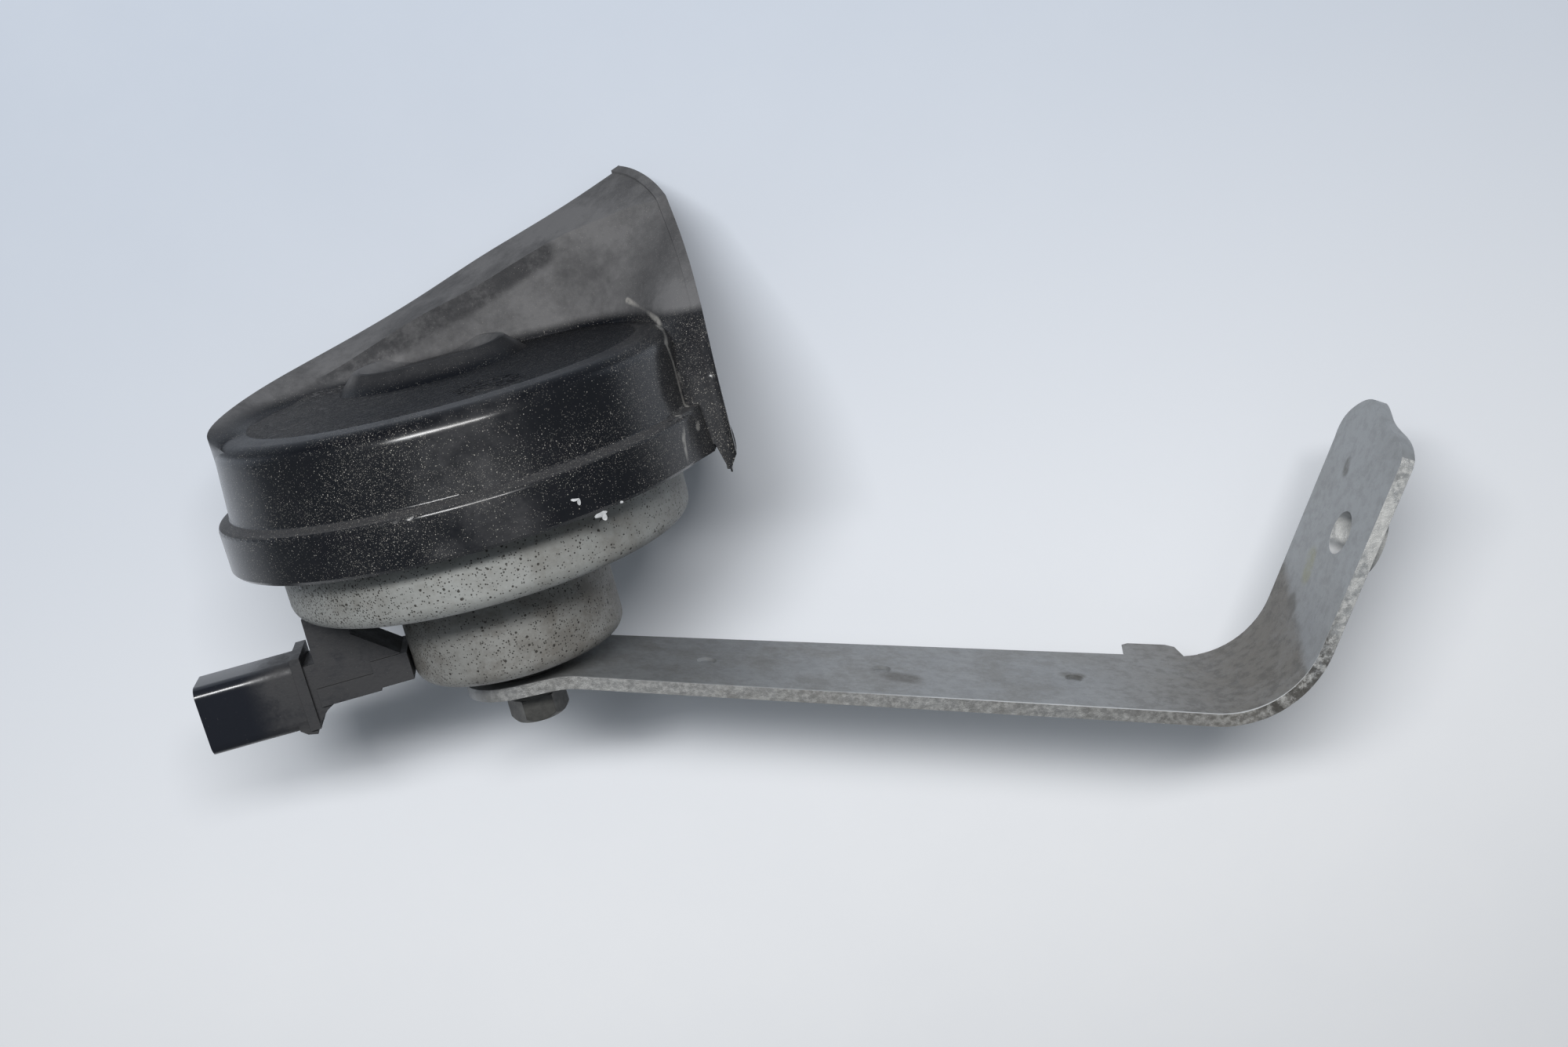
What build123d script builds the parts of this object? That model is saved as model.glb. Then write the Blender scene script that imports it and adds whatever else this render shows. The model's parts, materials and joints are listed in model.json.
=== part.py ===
"""Snail-type electric car horn on a bent strip bracket.

Millimetres. The origin is the centre of the bracket's mounting hole, on the face
that meets the car. +X runs along the bracket to that hole, +Y is the horn's axis
towards the trumpet, and +Z is the side with the connector and the mouth's front wall.
"""

from build123d import *
from math import cos, radians, sin
import os

os.makedirs("parts", exist_ok=True)

# ---------------------------------------------------------------- driving sizes
# Radii and heights are measured from the horn's axis.
HOLE_FROM_AXIS = (156.24, -44.23, 3.9)   # mounting hole, measured from the horn's axis
REACH = 60.0                             # of a cutting shape, past every face it cuts

# trumpet cover
SKIRT_R = 46.3
SKIRT_BORE_R = 43.7
SKIRT_H = 8.6
LEDGE_R = 43.9                           # foot of the disc, on the ledge over the skirt
LEDGE_RISE = 0.8
DISC_R = 42.9
DISC_TOP = 23.4
DISC_FLAT_R = 36.5                       # outside this the disc's top falls a little
DISC_FALL = 0.5
DISC_EDGE_R = 3.5
WALL = 2.2
ROOM_R = 40.6                            # space inside the disc
ROOM_TOP = 21.3
CLAMP_TOP = 7.9                          # room for the clamped stack inside the skirt
FLOOR_PLATE_TOP = 6.95
STACK_R = 40.8
LIP_W = 1.8
LIP_PROUD = 0.4
HUB_CENTRE = (-5, -16)
HUB_FOOT = 22.0
HUB_TOP = 26.7
HUB_R = (20.0, 15.0)                     # at its foot and at its rim
DISH_R = (10.5, 14.0)                    # at its floor and at its rim
DISH_DEPTH = 2.0
RIB_T = 2.0
HOOKS = 6
HOOK_FIRST = 15                          # degrees
HOOK_ARC = 12                            # degrees

# pressed pan
SHEET = 1.2
PAN_R = 38.4
PAN_FLOOR = -11.9
CUP_R = 20.4
CUP_FLOOR = -31.0
FLANGE_R = 42.2
FLANGE_Y = 1.8
BEND_OUT = 3.0                           # outer and inner radius of a bend that shows
BEND_IN = 1.8
FLAT_SHARE = 0.586                       # of a bend's radius, cut off by a flat across it
BOLT_HOLE_R = 3.2
HOLE_PLAY = 0.05

# clamped stack, from the pan's flange up
RING_SHEET = 0.8
RING_R = (41.0, 43.4)
RING_Y = (1.0, 7.7)
RING_CORNER = 0.7
GASKET = 0.5
DIAPHRAGM = 0.4
GROOVE = (26.0, 28.5, 31.0)              # the diaphragm's corrugation, in radius
GROOVE_DEPTH = 0.9
BASE_T = 2.5
BASE_RELIEF = 0.9
THROAT_R = 7.0

# electromagnet
BOLT_R = 3.0
ARMATURE_R = 8.0
ARMATURE_FOOT = -14.2
ARMATURE_TOP = 1.9
COLLAR = (12.0, -3.4, -1.6)              # the armature's collar: radius, foot and top
STEM_R = 2.5
STEM_TOP = 9.4
WASHER_T = 0.8
NUT_R = 4.6
NUT_H = 3.2
BOBBIN_R = (8.3, 9.5, 18.2)              # bore, barrel and cheeks
BOBBIN_Y = (-29.5, -13.1)
WINDING_R = 17.4
POLE_H = 14.6
PLATE_R = 25.4
PLATE_T = 1.6

# contact breaker, on the side away from the connector's front
RIVET_AT = (31.2, 33.9)                  # distances from the axis
RIVET_R = 1.2
RIVET_HEAD_R = 1.3
RIVET_HEAD_H = 0.8
BLOCK_S = (29.9, 35.2)                   # insulating blocks, inner and outer end
BLOCK_HALF_W = 4.5
BLOCK_TOP = -2.8
FIXED_ARM = (13.0, 35.2, -6.0, -5.0)     # inner end, outer end, underside and top
SPRING = (9.2, 35.2, -4.0, -3.6)
SPRING_HALF_W = 3.5
CONTACT_AT = 16.0
CONTACT_R = 1.8
SCREW_AT = 27.8
SCREW_R = 1.8
SCREW_HEAD_R = 3.6
SCREW_HEAD_H = 2.8
RESISTOR_ANGLE = 222                     # degrees round the axis
RESISTOR_AT = (31.0, -8.5)               # distance from the axis, height
RESISTOR_R = 2.1
RESISTOR_HALF_L = 5.5
LEAD_R = 0.4
LEAD_L = 2.5

# connector
PLUG_TURN = 9.1                          # degrees, out of the bracket's line
PLUG_HALF_W = 5.6
SHROUD = (40.0, 60.0, -33.5, -20.0)      # back, mouth, underside and top
SOCKET = (43.5, 60.5, -32.0, -21.5)
SHROUD_WALL = 1.5
SHROUD_CORNER = 2.2
COLLAR_RIB = (39.6, 41.6, -33.5, -19.2)
LOWER_FLANGE = (26.9, 38.3, -29.6, -26.0)
CUP_NOSE = (20.5, 27.5, -29.1, -23.7)
BASE_FRONT = 29.4
BASE_HALF_W = 5.5
PLUG_GASKET = 0.6
TERMINAL_S = (31.4, 34.8)                # where the two terminals rise through the pan
RIVET_S = 33.1
RIVET_N = 4.25
PLUG_RIVET_R = 1.0
PLUG_RIVET_FOOT = -19.0
BLADE_HALF_W = 3.1
BLADE_T = 0.8
BLADE_Y = (-24.4, -29.3)                 # heights of the upper and the lower blade
BLADE_END = 57.0
BLADE_TOP = -7.0

# bracket and its bolt
BRACKET_T = 2.5
PAD_TOP = -34.2
PAD_R = 12.3
PAD_STRAIGHT = 6.0                       # from the axis to the first bend
PAD_BEND_R = 19.1
SLOPE = -16.68                           # degrees, pad to middle run
RUN_LENGTH = 118.4
ELBOW = 75.0                             # degrees, middle run to arm
ELBOW_R = 18.4
ARM_LENGTH = 44.6
ARM_START = (145.83, -61.07)
HOLE_S = 19.8                            # mounting hole, along and across the arm
HOLE_W = -3.9
HOLE_R = 4.2
DRAWN_R = 6.9                            # drawn collar behind the mounting hole
DRAWN_H = 3.5
RUN_START = (13.01, -35.46)              # top face of the middle run, at its first bend
MARKS = (21.7, 55.6, 93.2)               # punch marks, along the middle run
MARK_R = 1.9
MARK_DEPTH = 0.5
BOLT_CLEAR_R = 3.3
SPACER_R = 9.0
PLAIN_WASHER_R = 6.0
PLAIN_WASHER_T = 1.4
SPRING_WASHER_R = 5.6
SPRING_WASHER_T = 1.6
SPLIT_W = 0.7
HEX_R = 5.77
HEAD_H = 4.7
HEX_TURN = 50                            # degrees
BOLT_L = 19.0

# ---------------------------------------------------------------- placing planes
HORN = Vector(0, 0, 0) - Vector(*HOLE_FROM_AXIS)
AXIS = Axis(HORN, (0, 1, 0))


def radial(angle):
    """Half plane through the horn's axis: x runs outwards, y up the axis."""
    out = (cos(radians(angle)), 0, sin(radians(angle)))
    turn = (-sin(radians(angle)), 0, cos(radians(angle)))
    return Plane(origin=HORN, x_dir=out, z_dir=turn)


def level(height):
    """Plane across the axis: x is +X, y is +Z. A negative extrude rises."""
    return Plane(origin=HORN + Vector(0, height, 0), x_dir=(1, 0, 0), z_dir=(0, -1, 0))


def across(x):
    """Plane across the bracket's line: x runs to the back, y up the axis."""
    return Plane(origin=HORN + Vector(x, 0, 0), x_dir=(0, 0, -1), z_dir=(1, 0, 0))


FRONT = radial(0)
BREAKER = radial(270)
PLUG_OUT = (-cos(radians(PLUG_TURN)), 0, sin(radians(PLUG_TURN)))
PLUG_SIDE = (-sin(radians(PLUG_TURN)), 0, -cos(radians(PLUG_TURN)))
PLUG = Plane(origin=HORN, x_dir=PLUG_OUT, z_dir=PLUG_SIDE)


def plug_level(height, side):
    """Plane facing up the axis over the connector's rivets, side off its middle."""
    spot = PLUG.from_local_coords((RIVET_S, height, side))
    return Plane(origin=spot, x_dir=PLUG_OUT, z_dir=(0, 1, 0))


def block(low_x, high_x, low_y, high_y):
    """A rectangle from its four sides."""
    with BuildSketch(Plane.XY) as shape:
        with Locations(((low_x + high_x) / 2, (low_y + high_y) / 2)):
            Rectangle(high_x - low_x, high_y - low_y)
    return shape.sketch


def near(vertices, *spots):
    """The vertices of a profile that lie at the given places."""
    return [vertices.sort_by_distance((*spot, 0))[0] for spot in spots]


# ---------------------------------------------------------------- trumpet cover
# Snail duct sections, from the left round the back and out to the mouth at the
# right: outer foot, outer roof edge, ridge, three points down the inner wall, inner foot.
DUCT = [
    (radial(140), [(42.2, 6.4), (42.2, 18.6), (38.2, 22.2), (33, 21.8), (26, 21.2), (22.6, 16), (22.2, 6.4)]),
    (radial(160), [(43, 6.4), (43, 24), (40.2, 23.2), (35, 22.6), (26.4, 21.6), (23, 16), (22.6, 6.4)]),
    (radial(187), [(43.1, 6.4), (43.1, 26.1), (39.4, 24.4), (35, 23.1), (27, 22.7), (23.8, 16), (23.4, 6.4)]),
    (radial(210), [(43, 6.4), (43, 28.2), (38.2, 25.2), (34.6, 23.6), (28, 22.9), (24.4, 16), (24, 6.4)]),
    (radial(232), [(42.9, 6.4), (42.9, 30.9), (33, 28.9), (30.8, 26.3), (28.2, 23), (25.4, 16), (25, 6.4)]),
    (radial(256), [(42.9, 6.4), (42.9, 35.5), (28.2, 33.2), (27.2, 29), (26.6, 23.5), (26, 16), (25.8, 6.4)]),
    (across(3.5), [(43, 7), (43, 40.2), (29.8, 35.6), (28.4, 30), (27.4, 23.5), (26.8, 16), (26.6, 8)]),
    (across(14), [(43, 4), (43, 43.4), (30.2, 38.8), (28.6, 31.5), (27.8, 23.5), (26.8, 15), (26.2, 6)]),
    (across(25), [(43, 1), (43, 46.8), (30, 41.8), (28.2, 32.5), (26.2, 23.5), (23.6, 15), (22.6, 3)]),
    (across(33.6), [(43, 0.2), (43, 49.8), (28.2, 43.2), (24.8, 32.5), (19.5, 23.5), (14.6, 15), (12.8, 0.4)]),
    (across(38.6), [(43, 0), (43, 51.6), (26.2, 44), (20.2, 32.5), (10.8, 23.3), (2.8, 15.2), (0.4, -1)]),
    (across(42.3), [(43, 0), (43, 52.8), (24.6, 44.2), (15.6, 33), (2.2, 22.8), (-6.6, 15), (-8.2, -2)]),
    (across(46.2), [(43, 0), (43, 53.9), (22.6, 44.4), (12.4, 33.6), (-0.8, 22.8), (-8.6, 14), (-10.2, -3.2)]),
    (across(50.8), [(43, 0), (43, 55.1), (20.4, 44.7), (9, 34), (-4.2, 22.8), (-10.6, 13), (-12.8, -3.8)]),
]
PLAN_BELOW = 20                          # the mouth's plan starts this far down
PLAN_H = 90
# Plan of the mouth's rim, (x, z), back to front
RIM = [(37.6, -43), (46.9, -21.6), (48.9, -9.5), (49.8, 3), (50.1, 13)]
# First wind of the spiral, from the throat outwards: angle and radius
RIB = [(-190, 10.4), (-140, 10.9), (-90, 11.8), (-45, 13.3), (0, 15.4), (45, 18), (90, 20.2), (135, 22.2), (170, 24.2)]
# Plan of the corner block at the front of the mouth, (x, z), at its foot and at its top
CORNER_FOOT = [(37, 12), (37, 22.5), (41.6, 19.4), (46.3, 10.6), (46.8, 3), (42, 3)]
CORNER_TOP = [(37, 12), (37, 22.5), (41.2, 19.2), (45.3, 11.4), (45.8, 3), (42, 3)]
CORNER_Y = (0.2, 9.1)


def inset(points, depth):
    """The same closed outline moved inwards by depth (outwards if negative)."""
    moved = []
    for i, here in enumerate(points):
        after = points[(i + 1) % len(points)]
        d1 = (Vector(*here) - Vector(*points[i - 1])).normalized()
        d2 = (Vector(*after) - Vector(*here)).normalized()
        n1 = Vector(-d1.Y, d1.X)
        n2 = Vector(-d2.Y, d2.X)
        step = (n1 + n2) * (depth / (1 + n1.dot(n2)))
        moved.append((here[0] + step.X, here[1] + step.Y))
    return moved


def duct_section(plane, points, depth=0.0):
    """One closed section of the duct on its own plane."""
    foot, roof, ridge, upper, middle, lower, inner = inset(points, depth)
    with BuildSketch(plane) as section:
        with BuildLine():
            Polyline(inner, foot, roof, ridge)
            Spline(ridge, upper, middle, lower)
            Line(lower, inner)
        make_face()
    return section.sketch


def mouth_plan(trim=0.0):
    """Everything behind the mouth's rim, seen along the horn's axis."""
    rim = [(x - trim, z) for x, z in RIM]
    with BuildSketch(level(-PLAN_BELOW)) as plan:
        with BuildLine():
            Spline(rim)
            Polyline(rim[-1], (40 - trim, REACH), (-70, REACH), (-70, -REACH), (32 - trim, -REACH), rim[0])
        make_face()
    return plan.sketch


with BuildPart() as duct_bore:
    loft([duct_section(plane, points, WALL) for plane, points in DUCT])
    # the bore steps up over the skirt that houses the clamp ring
    with BuildSketch(FRONT):
        with BuildLine():
            Polyline((0, -10), (49.4, -10), (49, -3.4), (47.8, 3.6), (46.4, 7), (0, 7), close=True)
        make_face()
    revolve(axis=AXIS, mode=Mode.SUBTRACT)

with BuildPart() as lip:
    loft([duct_section(plane, points, -LIP_PROUD) for plane, points in DUCT])
    extrude(mouth_plan(), amount=-PLAN_H, mode=Mode.INTERSECT)
    extrude(mouth_plan(LIP_W), amount=-PLAN_H, mode=Mode.SUBTRACT)

with BuildPart() as duct:
    loft([duct_section(plane, points) for plane, points in DUCT])
    extrude(mouth_plan(), amount=-PLAN_H, mode=Mode.INTERSECT)
    add(lip.part)
    # front corner of the lip, cut back where it clears the skirt
    with BuildSketch(FRONT.offset(-12)):
        Polygon((40, 1.3), (46.6, 1.3), (47.7, -2.8), (47.7, -8), (40, -8), align=None)
        Polygon((48.6, -3.4), (50.6, -0.2), (54, -0.2), (54, -8), (48.6, -8), align=None)
    extrude(amount=REACH, mode=Mode.SUBTRACT)

with BuildPart() as disc_room:
    # space inside the disc, above the clamped stack
    with BuildSketch(FRONT):
        with BuildLine():
            Polyline(
                (0, 5), (ROOM_R, 5), (ROOM_R, ROOM_TOP - 3), (ROOM_R - 3, ROOM_TOP), (0, ROOM_TOP),
                close=True,
            )
        make_face()
    revolve(axis=AXIS)

with BuildPart() as spiral_rib:
    with BuildSketch(level(6)):
        with BuildLine():
            Spline(*[(r * cos(radians(a)), r * sin(radians(a))) for a, r in RIB])
        trace(line_width=RIB_T)
    extrude(amount=-16)

with BuildPart() as trumpet_cover:
    # disc and skirt
    with BuildSketch(FRONT) as disc_profile:
        with BuildLine():
            Polyline(
                (0, CLAMP_TOP), (SKIRT_BORE_R, CLAMP_TOP), (SKIRT_BORE_R, 0), (SKIRT_R - 0.5, 0),
                (SKIRT_R, 0.6), (SKIRT_R, SKIRT_H), (LEDGE_R, SKIRT_H + LEDGE_RISE),
                (DISC_R, DISC_TOP - DISC_FALL), (DISC_FLAT_R, DISC_TOP), (0, DISC_TOP), close=True,
            )
        make_face()
        fillet(near(disc_profile.vertices(), (DISC_R, DISC_TOP - DISC_FALL)), DISC_EDGE_R)
        fillet(near(disc_profile.vertices(), (SKIRT_R, SKIRT_H)), 1.2)
        fillet(near(disc_profile.vertices(), (LEDGE_R, SKIRT_H + LEDGE_RISE)), 0.6)
    revolve(axis=AXIS)
    add(disc_room.part, mode=Mode.SUBTRACT)
    # hub boss with a shallow dish
    for mode, heights, sizes in (
        (Mode.ADD, (HUB_FOOT, HUB_TOP), HUB_R),
        (Mode.SUBTRACT, (HUB_TOP - DISH_DEPTH, HUB_TOP), DISH_R),
    ):
        for height, size in zip(heights, sizes):
            with BuildSketch(level(height)):
                with Locations(HUB_CENTRE):
                    Circle(size)
        loft(mode=mode)
    # flat corner block at the front of the mouth
    for height, corners in zip(CORNER_Y, (CORNER_FOOT, CORNER_TOP)):
        with BuildSketch(level(height)):
            Polygon(*corners, align=None)
    loft()
    # spiral duct with its flared mouth and lip
    add(duct.part)
    add(duct_bore.part, mode=Mode.SUBTRACT)
    add(spiral_rib.part)
    # room for the clamped stack
    with BuildSketch(FRONT):
        with BuildLine():
            Polyline(
                (0, -12), (SKIRT_BORE_R, -12), (SKIRT_BORE_R, CLAMP_TOP), (STACK_R, CLAMP_TOP),
                (STACK_R, FLOOR_PLATE_TOP), (0, FLOOR_PLATE_TOP), close=True,
            )
        make_face()
    revolve(axis=AXIS, mode=Mode.SUBTRACT)
    # hooks that snap under the clamp ring
    for i in range(HOOKS):
        with BuildSketch(radial(HOOK_FIRST + i * 360 / HOOKS)):
            with BuildLine():
                Polyline((44, 0.05), (42.9, 0.35), (42.9, 0.85), (44, 0.85), close=True)
            make_face()
        revolve(axis=AXIS, revolution_arc=HOOK_ARC)
trumpet_cover.part.label = "trumpet_cover"
export_step(trumpet_cover.part, "parts/trumpet_cover.step")

# ---------------------------------------------------------------- pan and clamped stack
FLOOR = PAN_FLOOR + SHEET                # inner face of the pan's floor

with BuildPart() as housing_pan:
    with BuildSketch(FRONT) as pan_profile:
        with BuildLine():
            Polyline(
                (BOLT_HOLE_R, CUP_FLOOR), (CUP_R, CUP_FLOOR), (CUP_R, PAN_FLOOR), (PAN_R, PAN_FLOOR),
                (PAN_R, FLANGE_Y), (FLANGE_R, FLANGE_Y), (FLANGE_R, FLANGE_Y + SHEET),
                (PAN_R - SHEET, FLANGE_Y + SHEET), (PAN_R - SHEET, FLOOR), (CUP_R - SHEET, FLOOR),
                (CUP_R - SHEET, CUP_FLOOR + SHEET), (BOLT_HOLE_R, CUP_FLOOR + SHEET), close=True,
            )
        make_face()
        # round bends where they show, and flats across those inside
        fillet(near(pan_profile.vertices(), (CUP_R, CUP_FLOOR), (PAN_R, PAN_FLOOR)), BEND_OUT)
        fillet(near(pan_profile.vertices(), (CUP_R, PAN_FLOOR)), BEND_IN)
        chamfer(
            near(
                pan_profile.vertices(), (PAN_R, FLANGE_Y), (PAN_R - SHEET, FLOOR),
                (CUP_R - SHEET, CUP_FLOOR + SHEET),
            ),
            BEND_IN * FLAT_SHARE,
        )
        chamfer(
            near(pan_profile.vertices(), (PAN_R - SHEET, FLANGE_Y + SHEET), (CUP_R - SHEET, FLOOR)),
            BEND_OUT * FLAT_SHARE,
        )
    revolve(axis=AXIS)
    # adjusting screw hole, terminal slots and rivet holes
    with BuildSketch(level(PAN_FLOOR - SHEET)):
        with Locations((0, -SCREW_AT)):
            Circle(SCREW_R + HOLE_PLAY)
    extrude(amount=-3 * SHEET, mode=Mode.SUBTRACT)
    with BuildSketch(PLUG):
        with Locations(*[(out, PAN_FLOOR) for out in TERMINAL_S]):
            Rectangle(2 * BLADE_T, 5 * SHEET)
    extrude(amount=BLADE_HALF_W + 0.5, both=True, mode=Mode.SUBTRACT)
    for side in (-RIVET_N, RIVET_N):
        with BuildSketch(plug_level(PAN_FLOOR - SHEET, side)):
            Circle(PLUG_RIVET_R + HOLE_PLAY)
        extrude(amount=3 * SHEET, mode=Mode.SUBTRACT)
housing_pan.part.label = "housing_pan"
export_step(housing_pan.part, "parts/housing_pan.step")

with BuildPart() as crimp_ring:
    # sheet ring folded over the edge of the stack
    with BuildSketch(FRONT) as ring_profile:
        inner_r, outer_r = RING_R
        low, high = RING_Y
        with BuildLine():
            Polyline(
                (inner_r, low), (outer_r, low), (outer_r, high), (inner_r, high),
                (inner_r, high - RING_SHEET), (outer_r - RING_SHEET, high - RING_SHEET),
                (outer_r - RING_SHEET, low + RING_SHEET), (inner_r, low + RING_SHEET), close=True,
            )
        make_face()
        chamfer(near(ring_profile.vertices(), (outer_r, low), (outer_r, high)), RING_CORNER)
    revolve(axis=AXIS)
crimp_ring.part.label = "crimp_ring"
export_step(crimp_ring.part, "parts/crimp_ring.step")

LOWER_GASKET_Y = FLANGE_Y + SHEET
DISC_Y = LOWER_GASKET_Y + GASKET         # underside of the diaphragm
UPPER_GASKET_Y = DISC_Y + DIAPHRAGM
BASE_Y = UPPER_GASKET_Y + GASKET         # underside of the trumpet's floor plate

with BuildPart() as lower_gasket:
    with BuildSketch(level(LOWER_GASKET_Y)):
        Circle(FLANGE_R)
        Circle(PAN_R + GASKET, mode=Mode.SUBTRACT)
    extrude(amount=-GASKET)
lower_gasket.part.label = "lower_gasket"
export_step(lower_gasket.part, "parts/lower_gasket.step")

with BuildPart() as upper_gasket:
    with BuildSketch(level(UPPER_GASKET_Y)):
        Circle(FLANGE_R)
        Circle(PAN_R + GASKET, mode=Mode.SUBTRACT)
    extrude(amount=-GASKET)
upper_gasket.part.label = "upper_gasket"
export_step(upper_gasket.part, "parts/upper_gasket.step")

with BuildPart() as diaphragm:
    # flat spring steel disc with one rolled corrugation
    with BuildSketch(FRONT):
        with BuildLine():
            groove_in, groove_bottom, groove_out = GROOVE
            wave = [
                (STEM_R, DISC_Y), (groove_in, DISC_Y), (groove_bottom, DISC_Y - GROOVE_DEPTH),
                (groove_out, DISC_Y), (FLANGE_R, DISC_Y),
            ]
            Polyline(*wave, *[(r, y + DIAPHRAGM) for r, y in reversed(wave)], close=True)
        make_face()
    revolve(axis=AXIS)
diaphragm.part.label = "diaphragm"
export_step(diaphragm.part, "parts/diaphragm.step")

with BuildPart() as trumpet_base:
    # floor of the snail, relieved over the diaphragm, with the throat hole
    with BuildSketch(FRONT):
        with BuildLine():
            relief = BASE_Y + BASE_RELIEF
            top = BASE_Y + BASE_T
            Polyline(
                (THROAT_R, relief), (34, relief), (36, BASE_Y), (FLANGE_R, BASE_Y), (FLANGE_R, top),
                (THROAT_R + 2, top), (THROAT_R, top + 2), close=True,
            )
        make_face()
    revolve(axis=AXIS)
trumpet_base.part.label = "trumpet_base"
export_step(trumpet_base.part, "parts/trumpet_base.step")

# ---------------------------------------------------------------- electromagnet
with BuildPart() as armature:
    with BuildSketch(FRONT):
        with BuildLine():
            collar_r, collar_foot, collar_top = COLLAR
            Polyline(
                (0, ARMATURE_FOOT), (ARMATURE_R, ARMATURE_FOOT), (ARMATURE_R, collar_foot),
                (collar_r, collar_foot), (collar_r, collar_top), (ARMATURE_R, collar_top),
                (ARMATURE_R, ARMATURE_TOP), (STEM_R, ARMATURE_TOP), (STEM_R, STEM_TOP), (0, STEM_TOP),
                close=True,
            )
        make_face()
    revolve(axis=AXIS)
armature.part.label = "armature"
export_step(armature.part, "parts/armature.step")

with BuildPart() as armature_washer_lower:
    with BuildSketch(level(ARMATURE_TOP)):
        Circle(ARMATURE_R + 1)
        Circle(STEM_R, mode=Mode.SUBTRACT)
    extrude(amount=ARMATURE_TOP - DISC_Y)
armature_washer_lower.part.label = "armature_washer_lower"
export_step(armature_washer_lower.part, "parts/armature_washer_lower.step")

with BuildPart() as armature_washer_upper:
    with BuildSketch(level(UPPER_GASKET_Y)):
        Circle(ARMATURE_R - 2)
        Circle(STEM_R, mode=Mode.SUBTRACT)
    extrude(amount=-WASHER_T)
armature_washer_upper.part.label = "armature_washer_upper"
export_step(armature_washer_upper.part, "parts/armature_washer_upper.step")

with BuildPart() as armature_nut:
    with BuildSketch(level(UPPER_GASKET_Y + WASHER_T)):
        RegularPolygon(radius=NUT_R, side_count=6)
        Circle(STEM_R, mode=Mode.SUBTRACT)
    extrude(amount=-NUT_H)
armature_nut.part.label = "armature_nut"
export_step(armature_nut.part, "parts/armature_nut.step")

with BuildPart() as pole_core:
    with BuildSketch(level(CUP_FLOOR + SHEET)):
        Circle(ARMATURE_R)
        Circle(BOLT_R, mode=Mode.SUBTRACT)
    extrude(amount=-POLE_H)
pole_core.part.label = "pole_core"
export_step(pole_core.part, "parts/pole_core.step")

BORE_R, BARREL_R, CHEEK_R = BOBBIN_R
CHEEK_LOW, CHEEK_HIGH = BOBBIN_Y

with BuildPart() as coil_bobbin:
    with BuildSketch(FRONT):
        with BuildLine():
            Polyline(
                (BORE_R, CHEEK_LOW), (CHEEK_R, CHEEK_LOW), (CHEEK_R, CHEEK_LOW + SHEET),
                (BARREL_R, CHEEK_LOW + SHEET), (BARREL_R, CHEEK_HIGH - SHEET),
                (CHEEK_R, CHEEK_HIGH - SHEET), (CHEEK_R, CHEEK_HIGH), (BORE_R, CHEEK_HIGH), close=True,
            )
        make_face()
    revolve(axis=AXIS)
coil_bobbin.part.label = "coil_bobbin"
export_step(coil_bobbin.part, "parts/coil_bobbin.step")

with BuildPart() as coil_winding:
    with BuildSketch(level(CHEEK_LOW + SHEET)):
        Circle(WINDING_R)
        Circle(BARREL_R, mode=Mode.SUBTRACT)
    extrude(amount=CHEEK_LOW - CHEEK_HIGH + 2 * SHEET)
coil_winding.part.label = "coil_winding"
export_step(coil_winding.part, "parts/coil_winding.step")

with BuildPart() as pole_plate:
    # plate that closes the magnet round the armature
    with BuildSketch(level(FLOOR)):
        Circle(PLATE_R)
        Circle(ARMATURE_R + 1, mode=Mode.SUBTRACT)
        with PolarLocations(13.5, 3, start_angle=30):
            Circle(1.5, mode=Mode.SUBTRACT)
    extrude(amount=-PLATE_T)
pole_plate.part.label = "pole_plate"
export_step(pole_plate.part, "parts/pole_plate.step")

# ---------------------------------------------------------------- contact breaker
ARM_LOW, ARM_HIGH = FIXED_ARM[2:]
SPRING_LOW, SPRING_HIGH = SPRING[2:]


def rivet_pair(radius):
    """Circles at the breaker's two rivets, on a plane across the axis."""
    with BuildSketch(Plane.XY) as pair:
        with Locations(*[(0, -out) for out in RIVET_AT]):
            Circle(radius)
    return pair.sketch


with BuildPart() as fixed_contact_arm:
    with BuildSketch(BREAKER):
        add(block(*FIXED_ARM))
    extrude(amount=BLOCK_HALF_W, both=True)
    with BuildSketch(level(FLOOR)):
        add(rivet_pair(RIVET_R))
    extrude(amount=FLOOR, mode=Mode.SUBTRACT)
fixed_contact_arm.part.label = "fixed_contact_arm"
export_step(fixed_contact_arm.part, "parts/fixed_contact_arm.step")

with BuildPart() as contact_spring:
    with BuildSketch(BREAKER):
        add(block(*SPRING))
    extrude(amount=SPRING_HALF_W, both=True)
    with BuildSketch(level(FLOOR)):
        add(rivet_pair(RIVET_R))
    extrude(amount=FLOOR, mode=Mode.SUBTRACT)
contact_spring.part.label = "contact_spring"
export_step(contact_spring.part, "parts/contact_spring.step")

with BuildPart() as contact_points:
    # silver button on the fixed arm and its partner on the spring
    with BuildSketch(level(ARM_HIGH)):
        with Locations((0, -CONTACT_AT)):
            Circle(CONTACT_R)
    extrude(amount=ARM_HIGH - SPRING_LOW)
contact_points.part.label = "contact_points"
export_step(contact_points.part, "parts/contact_points.step")

with BuildPart() as contact_insulators:
    with BuildSketch(BREAKER):
        for low, high in ((FLOOR, ARM_LOW), (ARM_HIGH, SPRING_LOW), (SPRING_HIGH, BLOCK_TOP)):
            add(block(*BLOCK_S, low, high))
    extrude(amount=BLOCK_HALF_W, both=True)
    with BuildSketch(level(FLOOR)):
        add(rivet_pair(RIVET_R))
    extrude(amount=FLOOR, mode=Mode.SUBTRACT)
contact_insulators.part.label = "contact_insulators"
export_step(contact_insulators.part, "parts/contact_insulators.step")

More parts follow.
